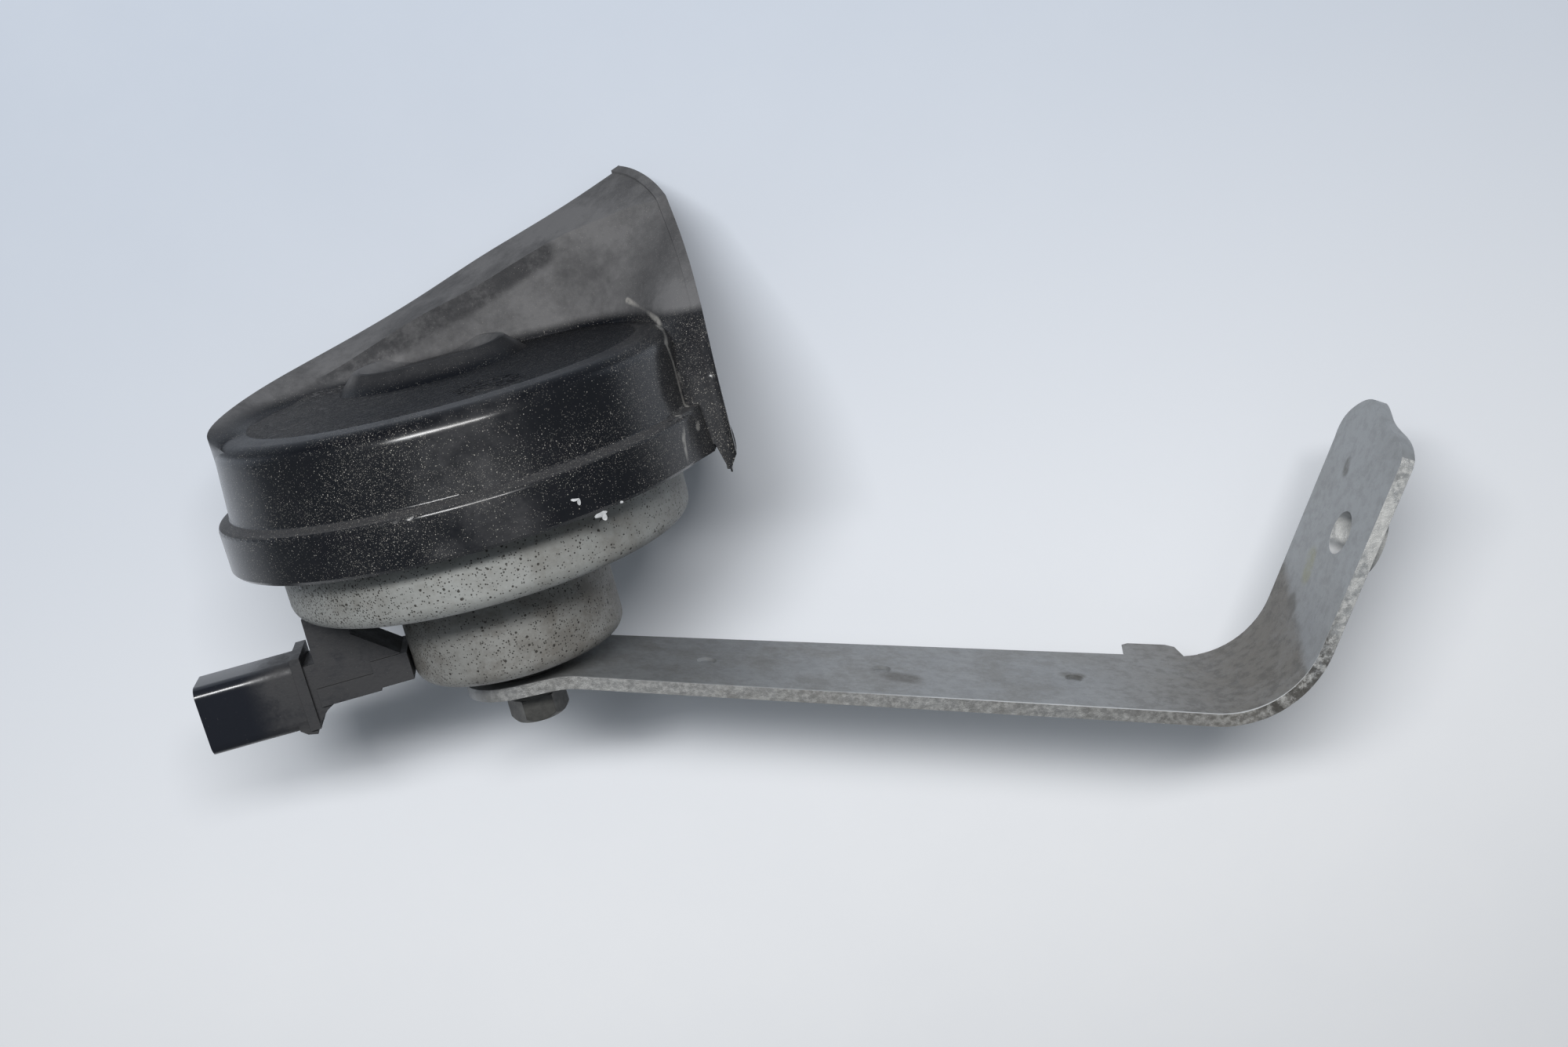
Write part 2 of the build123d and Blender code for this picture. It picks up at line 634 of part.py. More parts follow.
with BuildPart() as breaker_rivets:
    with BuildSketch(level(FLOOR)):
        add(rivet_pair(RIVET_R))
    extrude(amount=FLOOR - BLOCK_TOP)
    with BuildSketch(level(BLOCK_TOP)):
        add(rivet_pair(RIVET_HEAD_R))
    extrude(amount=-RIVET_HEAD_H)
breaker_rivets.part.label = "breaker_rivets"
export_step(breaker_rivets.part, "parts/breaker_rivets.step")

with BuildPart() as adjusting_screw:
    # hex head outside the pan, tip against the fixed contact arm
    with BuildSketch(level(PAN_FLOOR - SCREW_HEAD_H)):
        with Locations((0, -SCREW_AT)):
            RegularPolygon(radius=SCREW_HEAD_R, side_count=6)
    extrude(amount=-SCREW_HEAD_H)
    with BuildSketch(level(PAN_FLOOR)):
        with Locations((0, -SCREW_AT)):
            Circle(SCREW_R)
    extrude(amount=PAN_FLOOR - ARM_LOW)
adjusting_screw.part.label = "adjusting_screw"
export_step(adjusting_screw.part, "parts/adjusting_screw.step")

with BuildPart() as suppression_resistor:
    for size, half_length in ((RESISTOR_R, RESISTOR_HALF_L), (LEAD_R, RESISTOR_HALF_L + LEAD_L)):
        with BuildSketch(radial(RESISTOR_ANGLE)):
            with Locations(RESISTOR_AT):
                Circle(size)
        extrude(amount=half_length, both=True)
suppression_resistor.part.label = "suppression_resistor"
export_step(suppression_resistor.part, "parts/suppression_resistor.step")

# ---------------------------------------------------------------- connector
with BuildPart() as terminal_upper:
    with BuildSketch(PLUG):
        with BuildLine():
            Polyline((BLADE_END, BLADE_Y[0]), (TERMINAL_S[1], BLADE_Y[0]), (TERMINAL_S[1], BLADE_TOP))
        trace(line_width=BLADE_T)
    extrude(amount=BLADE_HALF_W, both=True)
terminal_upper.part.label = "terminal_upper"
export_step(terminal_upper.part, "parts/terminal_upper.step")

with BuildPart() as terminal_lower:
    with BuildSketch(PLUG):
        with BuildLine():
            Polyline((BLADE_END, BLADE_Y[1]), (TERMINAL_S[0], BLADE_Y[1]), (TERMINAL_S[0], BLADE_TOP))
        trace(line_width=BLADE_T)
    extrude(amount=BLADE_HALF_W, both=True)
terminal_lower.part.label = "terminal_lower"
export_step(terminal_lower.part, "parts/terminal_lower.step")

with BuildPart() as connector_gasket:
    with BuildSketch(plug_level(PAN_FLOOR - PLUG_GASKET, 0)):
        Rectangle(2 * RIVET_S - 2 * BASE_FRONT, 2 * BASE_HALF_W)
        with Locations(*[(out - RIVET_S, 0) for out in TERMINAL_S]):
            Rectangle(BLADE_T, 2 * BLADE_HALF_W, mode=Mode.SUBTRACT)
        with Locations((0, RIVET_N), (0, -RIVET_N)):
            Circle(PLUG_RIVET_R, mode=Mode.SUBTRACT)
    extrude(amount=PLUG_GASKET)
connector_gasket.part.label = "connector_gasket"
export_step(connector_gasket.part, "parts/connector_gasket.step")

with BuildPart() as connector_rivets:
    for side in (-RIVET_N, RIVET_N):
        with BuildSketch(plug_level(PLUG_RIVET_FOOT, side)):
            Circle(PLUG_RIVET_R)
        extrude(amount=FLOOR - PLUG_RIVET_FOOT)
        with BuildSketch(plug_level(FLOOR, side)):
            Circle(PLUG_RIVET_R + 0.6)
        extrude(amount=RIVET_HEAD_H)
connector_rivets.part.label = "connector_rivets"
export_step(connector_rivets.part, "parts/connector_rivets.step")

with BuildPart() as connector_housing:
    # shroud
    with BuildSketch(PLUG):
        add(block(*SHROUD))
    extrude(amount=PLUG_HALF_W, both=True)
    long_edges = connector_housing.edges().filter_by(Axis((0, 0, 0), PLUG_OUT))
    fillet(long_edges, SHROUD_CORNER)
    # collar rib round the back of the shroud
    with BuildSketch(PLUG):
        add(block(*COLLAR_RIB))
    extrude(amount=PLUG_HALF_W + 0.7, both=True)
    # neck and base block up to the pan
    base_top = PAN_FLOOR - PLUG_GASKET
    with BuildSketch(PLUG):
        Polygon((36, -21.3), (40, -21.3), (40, -33), (36, -29), align=None)
        Polygon(
            (BASE_FRONT, base_top), (37.2, base_top), (37.6, -29), (21.8, -29), (21.8, -23.6),
            (BASE_FRONT, -17.6), align=None,
        )
        # concave gusset under the back of the shroud
        with BuildLine():
            Spline((33, -28.6), (36.6, -30), (39.2, -32), (40.6, -34.6))
            Polyline((40.6, -34.6), (42.4, -34.2), (43.6, -33.2), (43.6, -28.6), (33, -28.6))
        make_face()
    extrude(amount=BASE_HALF_W, both=True)
    # lower flange and the nose that seats on the cup
    with BuildSketch(PLUG):
        add(block(*LOWER_FLANGE))
        add(block(*CUP_NOSE))
    extrude(amount=PLUG_HALF_W + 0.6, both=True)
    with BuildSketch(level(-34)):
        Circle(CUP_R + 0.05)
    extrude(amount=-24, mode=Mode.SUBTRACT)
    # socket
    with BuildSketch(PLUG):
        add(block(*SOCKET))
    extrude(amount=PLUG_HALF_W - SHROUD_WALL, both=True, mode=Mode.SUBTRACT)
    # the terminals and rivets are moulded in
    add(terminal_upper.part, mode=Mode.SUBTRACT)
    add(terminal_lower.part, mode=Mode.SUBTRACT)
    add(connector_rivets.part, mode=Mode.SUBTRACT)
connector_housing.part.label = "connector_housing"
export_step(connector_housing.part, "parts/connector_housing.step")

# ---------------------------------------------------------------- bracket and bolt
SLOPE_OUT = (cos(radians(SLOPE)), sin(radians(SLOPE)))
ARM_TURN = SLOPE + ELBOW
ARM_OUT = (cos(radians(ARM_TURN)), sin(radians(ARM_TURN)), 0)
ARM_FACE = (-sin(radians(ARM_TURN)), cos(radians(ARM_TURN)), 0)
ARM = Plane(origin=HORN + Vector(*ARM_START, 0), x_dir=ARM_OUT, z_dir=ARM_FACE)
MID = BRACKET_T / 2

with BuildPart() as bracket_outline:
    # plan of the pad and middle run, with the locating tab at the back
    with BuildSketch(level(-1.5 * REACH)):
        Circle(PAD_R)
        with BuildLine():
            Polyline(
                (0, PAD_R), (127, 16.6), (140, 16.8), (140, -16.8), (126.6, -16.6), (126, -22.6),
                (124.4, -23.8), (116.8, -23.6), (115.4, -22.4), (115, -16.2), (0, -PAD_R), close=True,
            )
        make_face()
    extrude(amount=-REACH)
    # face of the arm, its free end cut askew with rounded corners
    with BuildSketch(ARM.offset(-20)):
        with BuildLine():
            Polyline((38, -16.4), (36.6, -17), (-16, -16.8), (-16, 16.8), (0, 17.1), (34.5, 17.2))
            Spline((34.5, 17.2), (39.2, 16.4), (42, 13.2), (44, 9), (44.6, 5.5))
            Spline((44.6, 5.5), (43.9, 2.8), (42.5, -0.6), (41.4, -6), (40.2, -12.6), (38, -16.4))
        make_face()
    extrude(amount=50)

with BuildPart() as bracket:
    with BuildSketch(FRONT):
        with BuildLine():
            pad = Line((-PAD_R - 1, PAD_TOP - MID), (PAD_STRAIGHT, PAD_TOP - MID))
            first = JernArc(pad @ 1, pad % 1, PAD_BEND_R - MID, SLOPE)
            run = PolarLine(first @ 1, RUN_LENGTH, direction=first % 1)
            second = JernArc(run @ 1, run % 1, ELBOW_R + MID, ELBOW)
            PolarLine(second @ 1, ARM_LENGTH, direction=second % 1)
        trace(line_width=BRACKET_T)
    extrude(amount=REACH / 2, both=True)
    add(bracket_outline.part, mode=Mode.INTERSECT)
    # bolt hole in the pad
    with BuildSketch(level(PAD_TOP - 2 * BRACKET_T)):
        Circle(BOLT_CLEAR_R)
    extrude(amount=-3 * BRACKET_T, mode=Mode.SUBTRACT)
    # drawn collar behind the mounting hole
    with BuildSketch(ARM.offset(-BRACKET_T - DRAWN_H)):
        with Locations((HOLE_S, HOLE_W)):
            Circle(DRAWN_R)
    extrude(amount=DRAWN_H + MID)
    with BuildSketch(ARM.offset(-10)):
        with Locations((HOLE_S, HOLE_W)):
            Circle(HOLE_R)
    extrude(amount=20, mode=Mode.SUBTRACT)
    # three punch marks down the middle
    for along in MARKS:
        mark = HORN + Vector(RUN_START[0] + along * SLOPE_OUT[0], RUN_START[1] + along * SLOPE_OUT[1], 0)
        with BuildSketch(Plane(origin=mark, x_dir=(0, 0, 1), z_dir=(-SLOPE_OUT[1], SLOPE_OUT[0], 0))):
            Circle(MARK_R)
        extrude(amount=-MARK_DEPTH, taper=50, mode=Mode.SUBTRACT)
bracket.part.label = "bracket"
export_step(bracket.part, "parts/bracket.step")

with BuildPart() as spacer_washer:
    with BuildSketch(level(PAD_TOP)):
        Circle(SPACER_R)
        Circle(BOLT_CLEAR_R, mode=Mode.SUBTRACT)
    extrude(amount=PAD_TOP - CUP_FLOOR)
spacer_washer.part.label = "spacer_washer"
export_step(spacer_washer.part, "parts/spacer_washer.step")

WASHER_Y = PAD_TOP - BRACKET_T
with BuildPart() as plain_washer:
    with BuildSketch(level(WASHER_Y)):
        Circle(PLAIN_WASHER_R)
        Circle(BOLT_CLEAR_R, mode=Mode.SUBTRACT)
    extrude(amount=PLAIN_WASHER_T)
plain_washer.part.label = "plain_washer"
export_step(plain_washer.part, "parts/plain_washer.step")

with BuildPart() as spring_washer:
    with BuildSketch(level(WASHER_Y - PLAIN_WASHER_T)):
        Circle(SPRING_WASHER_R)
        Circle(BOLT_CLEAR_R, mode=Mode.SUBTRACT)
        with Locations((SPRING_WASHER_R - 1, 0)):
            Rectangle(4, SPLIT_W, mode=Mode.SUBTRACT)
    extrude(amount=SPRING_WASHER_T)
spring_washer.part.label = "spring_washer"
export_step(spring_washer.part, "parts/spring_washer.step")

HEAD_Y = WASHER_Y - PLAIN_WASHER_T - SPRING_WASHER_T
with BuildPart() as fixing_bolt:
    with BuildSketch(level(HEAD_Y)):
        RegularPolygon(radius=HEX_R, side_count=6, rotation=HEX_TURN)
    extrude(amount=HEAD_H)
    with BuildSketch(FRONT):
        with BuildLine():
            Polyline(
                (0, HEAD_Y), (HEX_R, HEAD_Y), (HEX_R, HEAD_Y - HEAD_H + 1),
                (HEX_R - 0.9, HEAD_Y - HEAD_H), (0, HEAD_Y - HEAD_H), close=True,
            )
        make_face()
    revolve(axis=AXIS, mode=Mode.INTERSECT)
    with BuildSketch(level(HEAD_Y)):
        Circle(BOLT_R)
    extrude(amount=-BOLT_L)
fixing_bolt.part.label = "fixing_bolt"
export_step(fixing_bolt.part, "parts/fixing_bolt.step")
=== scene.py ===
# %% [markdown]
# A snail-type car horn, laid on a pale table. Its body is a black moulded spiral
# trumpet, clamped on a plated steel pan that houses the electromagnet. A bent strip
# bracket carries it, held by one bolt on the horn's axis.
#
# The solids come from the CAD model as a fixed frame, in metres. The lesson keeps
# their shapes, gives the ones that show smooth shading and worn edges, and spends
# most of its time on finishes: dusty plastic, dull zinc, a stained bend.

# %% Load the CAD frame
import bpy
import bmesh
import json
from math import radians, pi
from mathutils import Matrix, Vector


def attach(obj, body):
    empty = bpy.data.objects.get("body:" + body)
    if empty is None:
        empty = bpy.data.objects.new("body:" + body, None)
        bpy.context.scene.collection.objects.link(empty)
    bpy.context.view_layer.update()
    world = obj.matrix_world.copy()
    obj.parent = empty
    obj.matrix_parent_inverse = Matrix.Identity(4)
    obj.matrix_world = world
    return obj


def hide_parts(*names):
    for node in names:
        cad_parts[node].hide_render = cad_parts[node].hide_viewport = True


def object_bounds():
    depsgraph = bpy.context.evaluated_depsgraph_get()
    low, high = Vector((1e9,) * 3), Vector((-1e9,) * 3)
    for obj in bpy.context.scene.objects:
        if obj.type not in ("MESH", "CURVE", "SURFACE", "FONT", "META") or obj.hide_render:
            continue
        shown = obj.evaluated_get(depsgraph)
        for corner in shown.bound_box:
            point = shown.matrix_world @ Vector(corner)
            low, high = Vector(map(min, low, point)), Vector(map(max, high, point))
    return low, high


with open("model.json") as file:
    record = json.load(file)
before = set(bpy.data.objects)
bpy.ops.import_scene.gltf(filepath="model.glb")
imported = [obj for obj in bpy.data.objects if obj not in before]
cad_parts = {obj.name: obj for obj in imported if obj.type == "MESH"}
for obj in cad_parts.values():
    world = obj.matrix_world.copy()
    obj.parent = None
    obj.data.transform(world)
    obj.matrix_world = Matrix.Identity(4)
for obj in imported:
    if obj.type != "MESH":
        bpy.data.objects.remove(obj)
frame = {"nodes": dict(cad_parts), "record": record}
cad_box = [list(corner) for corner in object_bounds()]
print("CAD box in mm:", [[round(v * 1000, 1) for v in corner] for corner in cad_box])

# %% [markdown]
# The frame's origin is the mounting hole at the far end of the bracket. Most of the
# object is easier to describe from the horn's own axis, so one vector leads there.

# %% Where the horn's axis stands
MM = 0.001
HORN = Vector((-156.24, 44.23, -3.9)) * MM


def from_axis(x, y, z):
    """A point given in millimetres from the horn's axis, in the frame."""
    return HORN + Vector((x, y, z)) * MM


print("horn axis passes through", [round(v, 4) for v in HORN])

# %% [markdown]
# ## Table, light and camera
# The object lies on a pale matt table. A wide, shallow lamp stands near, up and behind
# it, and draws the shadows. A broader one further away on the same side softens them,
# with an even, dim world around. Together they add up to about one on the table, so a
# colour renders about as it is written, while the glossy black plastic stays black.

# %% Table and backdrop
TABLE_GAP = 0.0002
table_z = cad_box[0][2] - TABLE_GAP
TABLE_HALF = 6.0
table_mesh = bpy.data.meshes.new("table")
table_mesh.from_pydata(
    [(-TABLE_HALF, -TABLE_HALF, table_z), (TABLE_HALF, -TABLE_HALF, table_z),
     (TABLE_HALF, TABLE_HALF, table_z), (-TABLE_HALF, TABLE_HALF, table_z)],
    [], [(0, 1, 2, 3)])
table = bpy.data.objects.new("table", table_mesh)
bpy.context.scene.collection.objects.link(table)
print("table top at z =", round(table_z * 1000, 2), "mm")

# %% World and lamps
world = bpy.data.worlds.new("studio")
world.use_nodes = True
bpy.context.scene.world = world
sky = world.node_tree.nodes["Background"]
SKY_TINT = (0.86, 0.93, 1.0, 1)
SKY_STRENGTH = 0.18
sky.inputs["Color"].default_value = SKY_TINT
sky.inputs["Strength"].default_value = SKY_STRENGTH


def lamp(name, place, target, wide, deep, power, tint):
    """An oblong area lamp at one point, aimed at another, both from the horn's axis."""
    light = bpy.data.lights.new(name, "AREA")
    light.shape = "RECTANGLE"
    light.size = wide
    light.size_y = deep
    light.energy = power
    light.color = tint
    holder = bpy.data.objects.new(name, light)
    holder.location = from_axis(*place)
    aim = from_axis(*target) - holder.location
    holder.rotation_euler = aim.to_track_quat("-Z", "Y").to_euler()
    holder.visible_camera = False
    bpy.context.scene.collection.objects.link(holder)
    print(name, "at", place, "mm,", power, "W")
    return holder


lamp("near lamp", (45, 235, 500), (30, 0, 0), 0.40, 0.06, 2.9, (1.0, 0.99, 0.98))
lamp("far lamp", (-120, 380, 850), (40, 0, 0), 0.30, 0.20, 1.6, (0.92, 0.96, 1.0))

# %% Camera
# The view is from above the connector side, turned so that the bracket runs right.
CAMERA_PLACE = (70.958, 61.962, 316.497)
camera_data = bpy.data.cameras.new("camera")
camera_data.sensor_width = 36
camera_data.lens = 39.6
camera = bpy.data.objects.new("camera", camera_data)
right = Vector((0.97199, -0.23480, 0.01000))
up = Vector((0.22972, 0.94026, -0.25127))
back = Vector((0.04960, 0.24653, 0.96787))
turn = Matrix((right, up, back)).transposed().to_4x4()
camera.matrix_world = Matrix.Translation(from_axis(*CAMERA_PLACE)) @ turn
camera_data.clip_start = 0.01
bpy.context.scene.collection.objects.link(camera)
bpy.context.scene.camera = camera
bpy.context.scene.view_settings.view_transform = "Standard"
print("camera lens", round(camera_data.lens, 1), "mm, from the axis", CAMERA_PLACE)

# %% [markdown]
# ## Tools for node trees
# Every finish is a node tree. Two short helpers add a node with its values or links,
# and make a node group with named sockets, so that the trees below read as recipes.

# %% Node helpers


def put(tree, kind, values=None, **settings):
    """Add a node. Values go to its inputs: a socket is linked, anything else is set."""
    made = tree.nodes.new(kind)
    for key, value in settings.items():
        setattr(made, key, value)
    for key, value in (values or {}).items():
        if isinstance(value, bpy.types.NodeSocket):
            tree.links.new(value, made.inputs[key])
        else:
            made.inputs[key].default_value = value
    return made


def math_node(tree, operation, a, b=0.0, clamp=False):
    """One arithmetic step between two sockets or numbers."""
    made = put(tree, "ShaderNodeMath", {0: a, 1: b}, operation=operation, use_clamp=clamp)
    return made.outputs[0]


def blend(tree, share, low, high):
    """Mix two colours by a share."""
    made = put(tree, "ShaderNodeMix", data_type="RGBA")
    for socket, value in ((made.inputs[0], share), (made.inputs[6], low), (made.inputs[7], high)):
        if isinstance(value, bpy.types.NodeSocket):
            tree.links.new(value, socket)
        else:
            socket.default_value = value
    return made.outputs[2]


def ramp(tree, value, low, high, start=0.0, end=1.0, smooth=True):
    """Map low..high of a value to start..end, clamped."""
    return put(tree, "ShaderNodeMapRange",
               {"Value": value, "From Min": low, "From Max": high, "To Min": start, "To Max": end},
               interpolation_type="SMOOTHSTEP" if smooth else "LINEAR").outputs[0]


def group(name, inputs, outputs):
    """An empty shader node group with named number or vector sockets."""
    kinds = {"number": "NodeSocketFloat", "vector": "NodeSocketVector"}
    tree = bpy.data.node_groups.new(name, "ShaderNodeTree")
    for label, kind, default in inputs:
        socket = tree.interface.new_socket(label, in_out="INPUT", socket_type=kinds[kind])
        socket.default_value = default
    for label, kind in outputs:
        tree.interface.new_socket(label, in_out="OUTPUT", socket_type=kinds[kind])
    entry = tree.nodes.new("NodeGroupInput")
    leave = tree.nodes.new("NodeGroupOutput")
    return tree, entry.outputs, leave.inputs


def use(tree, group_tree, values):
    """Place a group in a tree with its own values."""
    return put(tree, "ShaderNodeGroup", values, node_tree=group_tree).outputs


print("node helpers ready")

# %% [markdown]
# ## Effects that several finishes share
# Dots are specks or pits: cells of a Voronoi texture, a few of them kept, each with a
# small round mark. A film is an uneven layer, such as dust or haze, made of two
# noises. Grain is the fine tooth that breaks up a highlight.

# %% Dots group
dots_tree, dots_in, dots_out = group(
    "dots",
    [("Position", "vector", (0, 0, 0)), ("Cells per metre", "number", 800.0),
     ("Share", "number", 0.3), ("Size", "number", 0.35)],
    [("Mask", "number")])
cells = put(dots_tree, "ShaderNodeTexVoronoi",
            {"Vector": dots_in["Position"], "Scale": dots_in["Cells per metre"]})
cell_parts = put(dots_tree, "ShaderNodeSeparateColor", {"Color": cells.outputs["Color"]})
kept = math_node(dots_tree, "LESS_THAN", cell_parts.outputs[0], dots_in["Share"])
reach = math_node(dots_tree, "MULTIPLY", dots_in["Size"],
                  ramp(dots_tree, cell_parts.outputs[1], 0, 1, 0.4, 1, smooth=False))
inside = math_node(dots_tree, "DIVIDE", cells.outputs["Distance"], reach)
mark = ramp(dots_tree, inside, 0.6, 1.0, 1.0, 0.0)
dots_tree.links.new(math_node(dots_tree, "MULTIPLY", kept, mark), dots_out["Mask"])
print("dots group has", len(dots_tree.nodes), "nodes")

# %% Film group
film_tree, film_in, film_out = group(
    "film",
    [("Position", "vector", (0, 0, 0)), ("Patches per metre", "number", 40.0),
     ("Start", "number", 0.4), ("Full", "number", 0.65)],
    [("Mask", "number")])
broad = put(film_tree, "ShaderNodeTexNoise",
            {"Vector": film_in["Position"], "Scale": film_in["Patches per metre"], "Detail": 5.0,
             "Roughness": 0.6})
finer = put(film_tree, "ShaderNodeTexNoise",
            {"Vector": film_in["Position"],
             "Scale": math_node(film_tree, "MULTIPLY", film_in["Patches per metre"], 9.0),
             "Detail": 4.0, "Roughness": 0.7})
both = math_node(film_tree, "ADD", math_node(film_tree, "MULTIPLY", broad.outputs[0], 0.7),
                 math_node(film_tree, "MULTIPLY", finer.outputs[0], 0.3))
film_tree.links.new(ramp(film_tree, both, film_in["Start"], film_in["Full"]), film_out["Mask"])
print("film group has", len(film_tree.nodes), "nodes")

# %% Grain group
grain_tree, grain_in, grain_out = group(
    "grain",
    [("Position", "vector", (0, 0, 0)), ("Grains per metre", "number", 1500.0),
     ("Base", "number", 0.4), ("Spread", "number", 0.1)],
    [("Height", "number"), ("Roughness", "number")])
tooth = put(grain_tree, "ShaderNodeTexNoise",
            {"Vector": grain_in["Position"], "Scale": grain_in["Grains per metre"], "Detail": 3.0,
             "Roughness": 0.55})
grain_tree.links.new(tooth.outputs[0], grain_out["Height"])
centred = math_node(grain_tree, "SUBTRACT", tooth.outputs[0], 0.5)
swing = math_node(grain_tree, "MULTIPLY", centred, grain_in["Spread"])
grain_tree.links.new(math_node(grain_tree, "ADD", swing, grain_in["Base"], clamp=True),
                     grain_out["Roughness"])
print("grain group has", len(grain_tree.nodes), "nodes")

# %% Side group
# How far a face looks towards one direction, such as up the horn's axis.
side_tree, side_in, side_out = group(
    "facing",
    [("Normal", "vector", (0, 0, 1)), ("Towards", "vector", (0, 1, 0)),
     ("Start", "number", 0.3), ("Full", "number", 0.8)],
    [("Mask", "number")])
looks = put(side_tree, "ShaderNodeVectorMath", {0: side_in["Normal"], 1: side_in["Towards"]},
            operation="DOT_PRODUCT")
side_tree.links.new(ramp(side_tree, looks.outputs["Value"], side_in["Start"], side_in["Full"]),
                    side_out["Mask"])
print("facing group has", len(side_tree.nodes), "nodes")

# %% Line group
# A worn line is what lies near a straight run between two points.
line_tree, line_in, line_out = group(
    "line",
    [("Position", "vector", (0, 0, 0)), ("Start", "vector", (0, 0, 0)),
     ("Run", "vector", (0, 1, 0)), ("Width", "number", 0.0004)],
    [("Mask", "number")])


def vector_step(operation, a, b, output="Vector"):
    """One vector operation in the line group."""
    made = put(line_tree, "ShaderNodeVectorMath", {0: a, 1: b}, operation=operation)
    return made.outputs[output]


lead = vector_step("SUBTRACT", line_in["Position"], line_in["Start"])
along = vector_step("DOT_PRODUCT", lead, line_in["Run"], "Value")
whole = vector_step("DOT_PRODUCT", line_in["Run"], line_in["Run"], "Value")
share_along = math_node(line_tree, "DIVIDE", along, whole, clamp=True)
foot = put(line_tree, "ShaderNodeVectorMath", {0: line_in["Run"], "Scale": share_along},
           operation="SCALE").outputs["Vector"]
apart = vector_step("DISTANCE", lead, foot, "Value")
from_line = math_node(line_tree, "DIVIDE", apart, line_in["Width"])
line_tree.links.new(ramp(line_tree, from_line, 0.35, 1.0, 1.0, 0.0), line_out["Mask"])
print("effect groups:", [g.name for g in bpy.data.node_groups])

# %% A new material and its usual sockets


class Finish:
    """A material in the making: its tree, position from the horn's axis, and normal."""

    def __init__(self, name, metallic=0.0):
        self.material = bpy.data.materials.new(name)
        self.material.use_nodes = True
        self.tree = self.material.node_tree
        self.shader = self.tree.nodes["Principled BSDF"]
        self.shader.inputs["Metallic"].default_value = metallic
        where = put(self.tree, "ShaderNodeTexCoord")
        moved = put(self.tree, "ShaderNodeVectorMath", {0: where.outputs["Object"], 1: HORN},
                    operation="SUBTRACT")
        self.place = moved.outputs[0]
        parts = put(self.tree, "ShaderNodeSeparateXYZ", {0: self.place})
        self.x, self.y, self.z = parts.outputs
        flat = put(self.tree, "ShaderNodeCombineXYZ", {0: self.x, 2: self.z})
        self.radius = put(self.tree, "ShaderNodeVectorMath", {0: flat.outputs[0]},
                          operation="LENGTH").outputs["Value"]
        self.normal = put(self.tree, "ShaderNodeNewGeometry").outputs["Normal"]

    def film(self, patches, start, full):
        """Uneven patches, so many to a metre, from start to full of the noise."""
        return use(self.tree, film_tree, {"Position": self.place, "Patches per metre": patches,
                                          "Start": start, "Full": full})["Mask"]

    def dots(self, cells_per_metre, share, size):
        """Round marks in a share of the cells, sized as a part of a cell."""
        return use(self.tree, dots_tree, {"Position": self.place, "Share": share, "Size": size,
                                          "Cells per metre": cells_per_metre})["Mask"]

    def facing(self, towards, start, full):
        """Where the surface looks towards a direction."""
        return use(self.tree, side_tree, {"Normal": self.normal, "Towards": towards,
                                          "Start": start, "Full": full})["Mask"]

    def rubbed(self, start, end, width):
        """A worn line between two points in millimetres from the horn's axis."""
        run = (Vector(end) - Vector(start)) * MM
        return use(self.tree, line_tree, {"Position": self.place, "Start": Vector(start) * MM,
                                          "Run": run, "Width": width * MM})["Mask"]

    def times(self, a, b):
        return math_node(self.tree, "MULTIPLY", a, b)

    def plus(self, a, b):
        return math_node(self.tree, "ADD", a, b)

    def past(self, value, low, high, start=0.0, end=1.0):
        """Rise from start to end while a length grows from low to high millimetres."""
        return ramp(self.tree, value, low * MM, high * MM, start, end)

    def most(self, a, b):
        return math_node(self.tree, "MAXIMUM", a, b)

    def less(self, mask, full=1.0, least=0.0):
        """A mask turned round: full where it is nothing, least where it is whole."""
        return ramp(self.tree, mask, 0.0, 1.0, full, least)

    def uneven(self, mask, least, most):
        """Least plus up to most, as a mask has it."""
        return self.plus(least, self.times(mask, most))

    def worn_run(self, points, width):
        """A worn line through several points."""
        mask = 0.0
        for start, end in zip(points, points[1:]):
            mask = self.most(mask, self.rubbed(start, end, width))
        return mask

    def within(self, value, low, high, soft):
        """One between low and high millimetres, fading over soft millimetres outside."""
        rise = ramp(self.tree, value, (low - soft) * MM, low * MM)
        fall = ramp(self.tree, value, high * MM, (high + soft) * MM, 1.0, 0.0)
        return self.times(rise, fall)

    def over(self, colour, share, tint):
        """Lay a plain tint over a colour by a share."""
        return blend(self.tree, share, colour, (*tint, 1))

    def close(self, colour, roughness, height=None, depth=0.00002):
        """Feed the shader: colour, roughness and, if given, a bump of depth metres."""
        self.tree.links.new(colour, self.shader.inputs["Base Color"])
        self.tree.links.new(roughness, self.shader.inputs["Roughness"])
        if height is not None:
            bump = put(self.tree, "ShaderNodeBump", {"Height": height, "Distance": depth})
            self.tree.links.new(bump.outputs[0], self.shader.inputs["Normal"])
        return self.material

    def grain(self, grains, base, spread):
        """Fine tooth: its height, and a roughness that swings about a base."""
        return use(self.tree, grain_tree, {"Position": self.place, "Grains per metre": grains,
                                           "Base": base, "Spread": spread})


print("a Finish offers", [name for name in vars(Finish) if not name.startswith("_")])

# %% [markdown]
# ## Moulded black plastic with road dust
# The trumpet is a black moulding that has lived behind a grille. Dust lies as a pale
# grey film on what faces up the axis, thinner on the walls of the duct, and as fine
# specks on the sides, thickest on the ledge above the skirt. Creases are rubbed pale.

